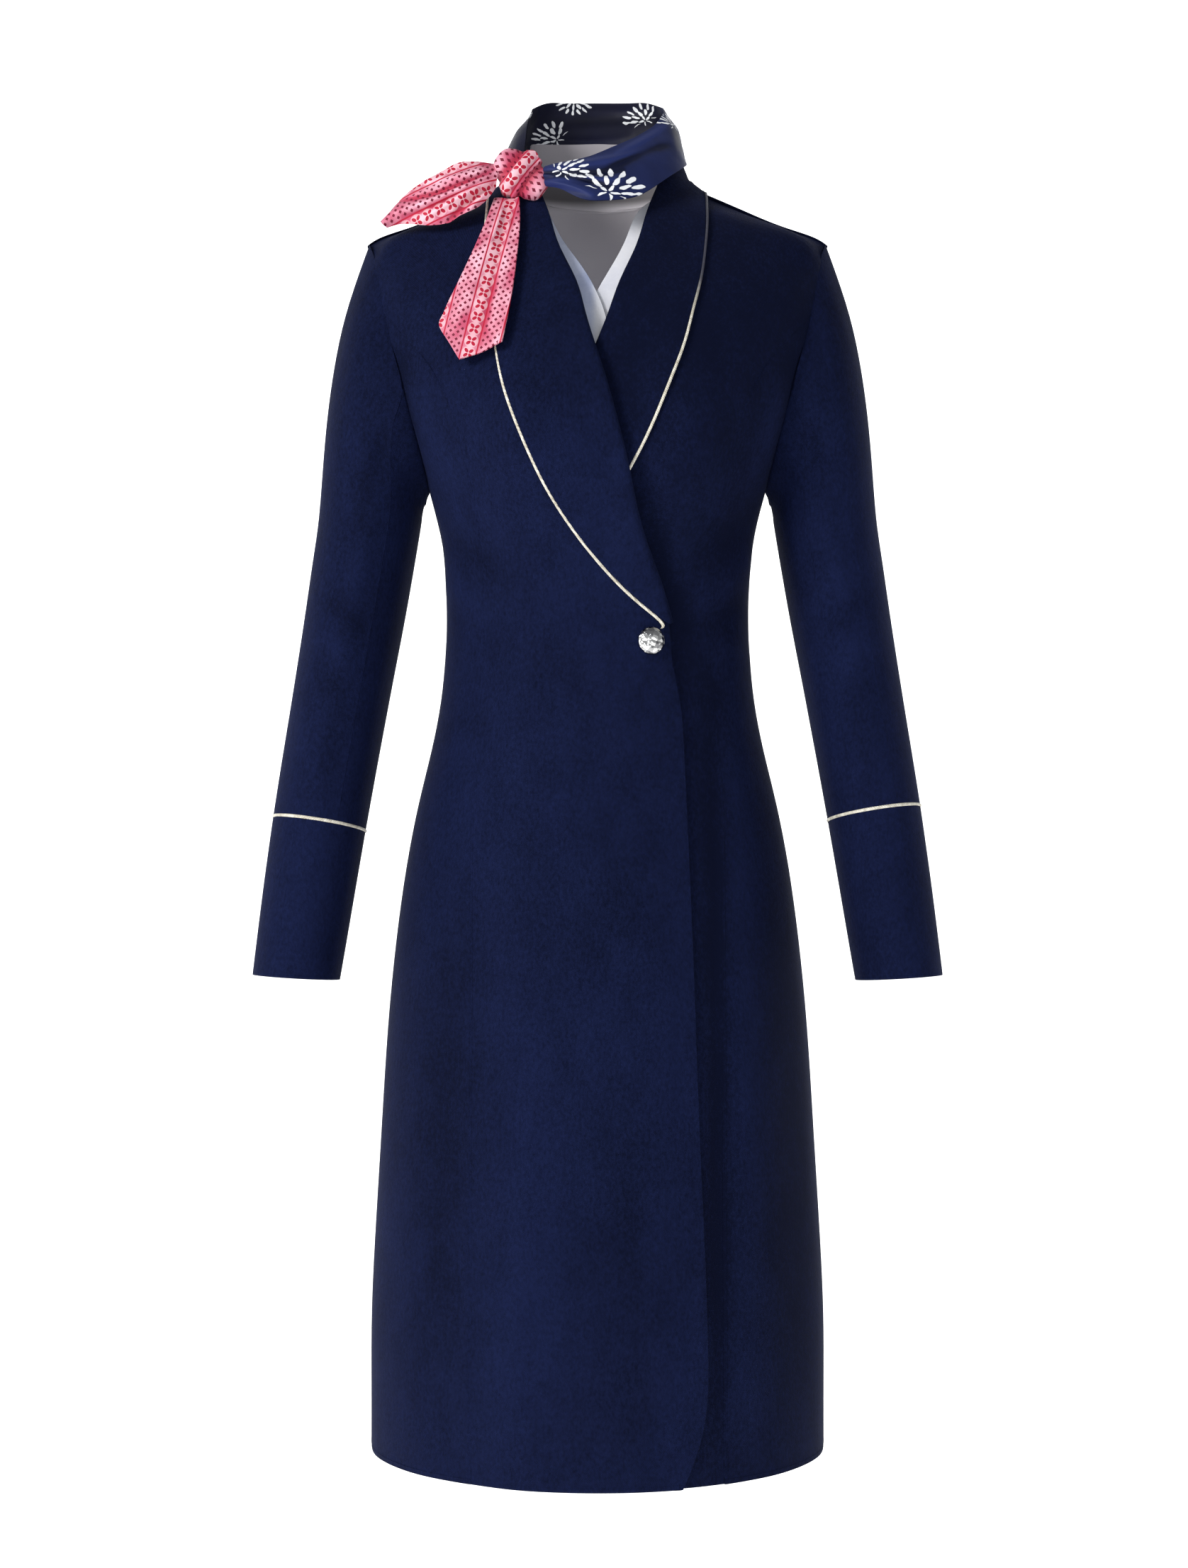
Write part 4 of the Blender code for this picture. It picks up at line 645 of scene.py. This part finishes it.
SCARF_CREASES = (       # pleats that meet at the knot
    Crease("front", -0.048, -0.003, 0.022, -0.002, -0.004, 0.0022, -0.0034),
    Crease("front", -0.048, -0.008, 0.010, -0.019, 0.003, 0.0020, -0.0032),
    Crease("front", -0.048, 0.001, 0.048, 0.021, -0.005, 0.0036, 0.0026),
    Crease("front", -0.048, -0.006, 0.020, -0.011, -0.002, 0.0026, 0.0028),
    Crease("front", -0.046, -0.012, -0.004, -0.026, 0.002, 0.0024, 0.0022),
    Crease("front", 0.000, -0.010, 0.060, 0.026, 0.003, 0.0036, -0.0026),
    Crease("front", 0.016, 0.014, 0.060, 0.050, -0.002, 0.0030, 0.0022),
    Crease("front", 0.062, 0.060, 0.070, 0.024, 0.002, 0.0040, -0.0014),
    Crease("back", -0.050, 0.066, 0.046, 0.070, 0.003, 0.0050, -0.0018),
    Crease("back", -0.040, 0.054, 0.030, 0.057, -0.002, 0.0040, 0.0016),
    Crease("back", -0.010, 0.078, 0.056, 0.074, 0.002, 0.0036, 0.0012),
)
TAIL_CREASES = (        # the first seven on the tail that stands out, the rest on the one that hangs
    Crease("front", -0.084, 0.001, -0.166, -0.024, 0.006, 0.0022, -0.0036),
    Crease("front", -0.084, 0.004, -0.150, -0.006, 0.006, 0.0030, 0.0026),
    Crease("front", -0.084, -0.003, -0.168, -0.034, 0.004, 0.0026, 0.0034),
    Crease("front", -0.084, -0.005, -0.160, -0.039, 0.002, 0.0020, -0.0034),
    Crease("front", -0.084, -0.008, -0.146, -0.042, 0.000, 0.0026, 0.0032),
    Crease("front", -0.084, -0.011, -0.124, -0.044, -0.001, 0.0026, -0.0042),
    Crease("front", -0.084, -0.015, -0.108, -0.038, -0.002, 0.0028, 0.0024),
    Crease("front", -0.074, -0.032, -0.098, -0.164, 0.003, 0.0036, -0.0026),
    Crease("front", -0.081, -0.034, -0.118, -0.140, 0.004, 0.0048, 0.0020),
    Crease("front", -0.069, -0.034, -0.084, -0.152, -0.002, 0.0044, 0.0016),
    Crease("front", -0.078, -0.030, -0.088, -0.066, 0.001, 0.0020, 0.0022),
    Crease("front", -0.070, -0.030, -0.072, -0.060, 0.001, 0.0018, -0.0020),
)
KNOT_CREASES = (        # a wrap that stands proud of the strands beside it, with folds along it
    Crease("front", -0.0700, -0.0290, -0.0400, 0.0110, 0.000, 0.0028, -0.0056),
    Crease("front", -0.0876, -0.0150, -0.0570, 0.0240, 0.000, 0.0028, -0.0048),
    Crease("front", -0.0620, -0.0340, -0.0320, 0.0060, 0.000, 0.0032, 0.0030),
    Crease("front", -0.0950, -0.0090, -0.0640, 0.0300, 0.000, 0.0032, 0.0028),
    Crease("front", -0.0800, -0.0210, -0.0500, 0.0180, 0.001, 0.0040, 0.0028),
    Crease("front", -0.0770, -0.0240, -0.0470, 0.0130, -0.002, 0.0016, -0.0020),
    Crease("front", -0.0830, -0.0180, -0.0540, 0.0200, 0.002, 0.0016, -0.0018),
)
BLOUSE_CREASES = (
    Crease("front", -0.040, -0.070, -0.014, -0.150, 0.002, 0.0040, -0.0010),
    Crease("front", -0.034, -0.060, -0.006, -0.128, -0.002, 0.0030, 0.0010),
    Crease("front", 0.040, -0.050, 0.012, -0.120, 0.002, 0.0040, 0.0010),
    Crease("front", 0.026, -0.070, 0.004, -0.112, -0.001, 0.0030, -0.0010),
    Crease("front", -0.020, -0.110, 0.000, -0.160, 0.001, 0.0026, 0.0010),
)
FACE_FADE = (-0.010, 0.030)     # a crease fades out where the cloth turns to the other side
TAPER_SPAN = (0.04, 0.96)       # a crease's ends on the half wave that it swells along
TAPER_POWER = 0.6


def mix_range(share, low, high):
    return low + (high - low) * share


def soft_step(values, start, end):
    share = np.clip((values - start) / (end - start), 0.0, 1.0)
    return share * share * (3 - 2 * share)


def crease_depths(x, z, behind, creases):
    """How far each point moves out, summed over the creases on its side."""
    total = np.zeros(len(x))
    for crease in creases:
        run = np.array((crease.x1 - crease.x0, crease.z1 - crease.z0))
        length = np.linalg.norm(run)
        run = run / length
        share = ((x - crease.x0) * run[0] + (z - crease.z0) * run[1]) / length
        aside = (x - crease.x0) * -run[1] + (z - crease.z0) * run[0]
        held = np.clip(share, 0.0, 1.0)
        aside = aside - crease.bow * 4 * held * (1 - held)
        past = np.maximum(np.abs(share - 0.5) - 0.5, 0.0) * length
        taper = np.sin(np.pi * np.clip(mix_range(share, *TAPER_SPAN), 0.0, 1.0)) ** TAPER_POWER
        fall = -(aside / crease.width) ** 2 - (past / crease.width) ** 2
        side = behind if crease.face == "back" else -behind
        total += crease.depth * np.exp(fall) * taper * soft_step(side, *FACE_FADE)
    return total


SCARF_SINK = 0.002          # the top edge sits a little into itself
SCARF_SHOULDER = 0.036      # and rounds off to both sides from here
SCARF_FALL = 0.0065
SCARF_FALL_REACH = 0.020
SCARF_FALL_HEIGHTS = (0.045, 0.085)     # none at the first height, all of it at the second
FULL_FOLD = 0.0025          # a crease this deep or high gets the full painted shade or painted highlight
BODY_DEPTH_RATIO = 1.35     # the coat's width over its depth
BODY_CALM = (0.06, 0.12)    # no creases down to the first depth, all of them from the second
SLEEVE_CALM = (0.09, 0.16)


def keep_fold_shade(mesh, depths, shade=0.0):
    """Keep each point's crease for the materials, which paint shade into troughs and a highlight on
    ridges; shade lowers it further, as painted shade.
    """
    share = np.clip(depths / FULL_FOLD, -1.0, 1.0) - shade
    layer = mesh.attributes.get(FOLD_SHADE) or mesh.attributes.new(FOLD_SHADE, "FLOAT", "POINT")
    layer.data.foreach_set("value", share.astype(np.float32))


def crease_body(points, creases=BODY_CREASES):
    out = np.stack((points[:, 0], points[:, 1] * BODY_DEPTH_RATIO ** 2), axis=1)
    out /= np.maximum(np.linalg.norm(out, axis=1, keepdims=True), TINY)
    depths = crease_depths(points[:, 0], points[:, 2], points[:, 1], creases)
    depths *= soft_step(-points[:, 2], *BODY_CALM)
    points[:, :2] += out * depths[:, None]
    return depths


def crease_scarf(points):
    past = np.maximum(np.abs(points[:, 0]) - SCARF_SHOULDER, 0.0) / SCARF_FALL_REACH
    high = soft_step(points[:, 2], *SCARF_FALL_HEIGHTS)
    points[:, 2] -= (SCARF_SINK + SCARF_FALL * past ** 2) * high
    out = points[:, :2] / np.maximum(np.linalg.norm(points[:, :2], axis=1, keepdims=True), TINY)
    depths = crease_depths(points[:, 0], points[:, 2], points[:, 1], SCARF_CREASES)
    points[:, :2] += out * depths[:, None]
    return depths


def crease_tail(points):
    depths = crease_depths(points[:, 0], points[:, 2], points[:, 1], TAIL_CREASES)
    points[:, 1] -= depths
    return depths


def crease_knot(points):
    out = points - points.mean(axis=0)
    out /= np.maximum(np.linalg.norm(out, axis=1, keepdims=True), TINY)
    depths = crease_depths(points[:, 0], points[:, 2], points[:, 1], KNOT_CREASES)
    points += out * depths[:, None]
    return depths


SleeveLine = namedtuple("SleeveLine", "height out ahead")
SLEEVE_LINE = (         # the middle of the wearer's left sleeve
    SleeveLine(-0.060, 0.1800, -0.008),
    SleeveLine(-0.285, 0.1928, -0.004),
    SleeveLine(-0.350, 0.2026, -0.001),
    SleeveLine(-0.430, 0.2156, 0.006),
    SleeveLine(-0.534, 0.2324, 0.017),
    SleeveLine(-0.666, 0.2510, 0.031),
)


def sleeve_offsets(points, sign):
    """Each point's place from the sleeve's middle line: outward and backward."""
    heights = [-spot.height for spot in SLEEVE_LINE]
    outs = np.interp(-points[:, 2], heights, [spot.out for spot in SLEEVE_LINE])
    aheads = np.interp(-points[:, 2], heights, [spot.ahead for spot in SLEEVE_LINE])
    return points[:, 0] * sign - outs, points[:, 1] + aheads


def crease_sleeve(points, sign):
    outward, backward = sleeve_offsets(points, sign)
    reach = np.maximum(np.hypot(outward, backward), TINY)
    depths = crease_depths(points[:, 0] * sign, points[:, 2], backward, SLEEVE_CREASES)
    depths *= soft_step(-points[:, 2], *SLEEVE_CALM)
    points[:, 0] += outward / reach * depths * sign
    points[:, 1] += backward / reach * depths
    return depths


# ---------------------------------------------------------------- the pieces


def add_piece(node, mesh, paint):
    """Put a mesh in place of its solid, riding on the one body."""
    mesh.name = node + "_cloth"
    mesh.shade_smooth()
    mesh.materials.clear()
    mesh.materials.append(paint.material)
    piece = bpy.data.objects.new(node + "_cloth", mesh)
    bpy.context.scene.collection.objects.link(piece)
    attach(piece, "root")
    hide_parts(node)
    return piece


LEFT_FRONT_PAINTED_SHADE = {     # painted shade on the wearer's left front, the side away from the key lamp, by this share of a trough's painted shade
    "coat_front_left_center": 0.6,
    "coat_front_left_side": 0.6,
    "coat_lapel_left": 0.5,
}
LEFT_FRONT_SHADE_FADE = (0.0, 0.05)      # none at the coat's side, all of it this far in front
TORSO_RADIUS = 0.13
SLEEVE_RADIUS = 0.048


def torso_piece(node, paint, **shape):
    mesh = fine_shell(node, **shape)
    points = read_points(mesh)
    turns = np.arctan2(points[:, 0], -points[:, 1])
    wrap_map(mesh, turns, points[:, 2], TORSO_RADIUS)
    depths = crease_body(points)
    if paint.slot == BLOUSE_SLOT:
        depths += crease_body(points, BLOUSE_CREASES)
    # painted shade for the side away from the light
    shade = LEFT_FRONT_PAINTED_SHADE.get(node, 0.0) * soft_step(-points[:, 1], *LEFT_FRONT_SHADE_FADE)
    keep_fold_shade(mesh, depths, shade)
    write_points(mesh, points)
    return add_piece(node, mesh, paint)


def sleeve_piece(node, paint, sign, **shape):
    mesh = fine_shell(node, **shape)
    points = read_points(mesh)
    outward, backward = sleeve_offsets(points, sign)
    wrap_map(mesh, np.arctan2(backward, outward), points[:, 2], SLEEVE_RADIUS)
    keep_fold_shade(mesh, crease_sleeve(points, sign))
    write_points(mesh, points)
    return add_piece(node, mesh, paint)


Tilt = namedtuple("Tilt", "x z degrees")    # where v starts, and how far it leans


def flat_piece(node, paint, tilt, crease, **shape):
    """A piece whose pattern is laid on it from the front."""
    mesh = fine_shell(node, **shape)
    points = read_points(mesh)
    lean = math.radians(tilt.degrees)
    x = points[:, 0] - tilt.x
    z = points[:, 2] - tilt.z
    layer = mesh.uv_layers.new(name="cloth")
    for loop in mesh.loops:
        spot = loop.vertex_index
        layer.data[loop.index].uv = (
            x[spot] * math.cos(lean) + z[spot] * math.sin(lean),
            z[spot] * math.cos(lean) - x[spot] * math.sin(lean),
        )
    keep_fold_shade(mesh, crease(points))
    write_points(mesh, points)
    return add_piece(node, mesh, paint)


NECK_RADIUS = 0.066
NECK_SLOPE = 1.15       # cloth up the leaning band, over height


def neck_piece(node, paint, **shape):
    """A stretch of the scarf round the neck."""
    mesh = fine_shell(node, **shape)
    points = read_points(mesh)
    turns = np.arctan2(points[:, 0], -points[:, 1])
    wrap_map(mesh, turns, points[:, 2] * NECK_SLOPE, NECK_RADIUS)
    keep_fold_shade(mesh, crease_scarf(points))
    write_points(mesh, points)
    return add_piece(node, mesh, paint)


ROSE_PIECES = (
    ("scarf_knot", Tilt(-0.064, 0.0, -38.0), crease_knot, 0.0),
    ("scarf_tail_side", Tilt(-0.13, -0.034, 112.0), crease_tail, THIN_EDGE_ROUND),
    ("scarf_tail_hanging", Tilt(-0.085, -0.08, -13.0), crease_tail, THIN_EDGE_ROUND),
)


def build():
    wool = wool_paint()
    blouse = blouse_paint()
    piping = piping_paint()
    navy_silk = navy_silk_paint()
    rose_silk = pink_silk_paint()
    pieces = {}
    for side, sign in (("left", 1.0), ("right", -1.0)):
        for part in ("coat_front_%s_center", "coat_front_%s_side", "coat_back_%s"):
            node = part % side
            pieces[node] = torso_piece(node, wool)
        node = "coat_lapel_%s" % side
        pieces[node] = torso_piece(node, wool, sharp=LAPEL_SHARP_TURN)
        node = "piping_lapel_%s" % side
        pieces[node] = torso_piece(node, piping, edge=0.0)
        for part in ("sleeve_%s_upper", "sleeve_%s_under", "cuff_%s"):
            node = part % side
            pieces[node] = sleeve_piece(node, wool, sign)
        node = "piping_cuff_%s" % side
        pieces[node] = sleeve_piece(node, piping, sign, edge=0.0)
        node = "blouse_front_%s" % side
        pieces[node] = torso_piece(node, blouse, edge=THIN_EDGE_ROUND)
    for node in ("blouse_back", "blouse_collar"):
        pieces[node] = torso_piece(node, blouse, edge=THIN_EDGE_ROUND)
    button = button_paint()
    pieces["button"] = torso_piece("button", button, sharp=BUTTON_SHARP_TURN, edge=BUTTON_EDGE_ROUND)
    for node in ("scarf_side", "scarf_back", "scarf_front"):
        pieces[node] = neck_piece(node, navy_silk, levels=SCARF_LEVELS, edge=THIN_EDGE_ROUND)
    for node, tilt, crease, edge in ROSE_PIECES:
        pieces[node] = flat_piece(node, rose_silk, tilt, crease, levels=SCARF_LEVELS, edge=edge)
    return pieces


# ---------------------------------------------------------------- cuts

Cut = namedtuple("Cut", "width length area held rests_on")


make_camera()
make_stage()
make_lights()
build()
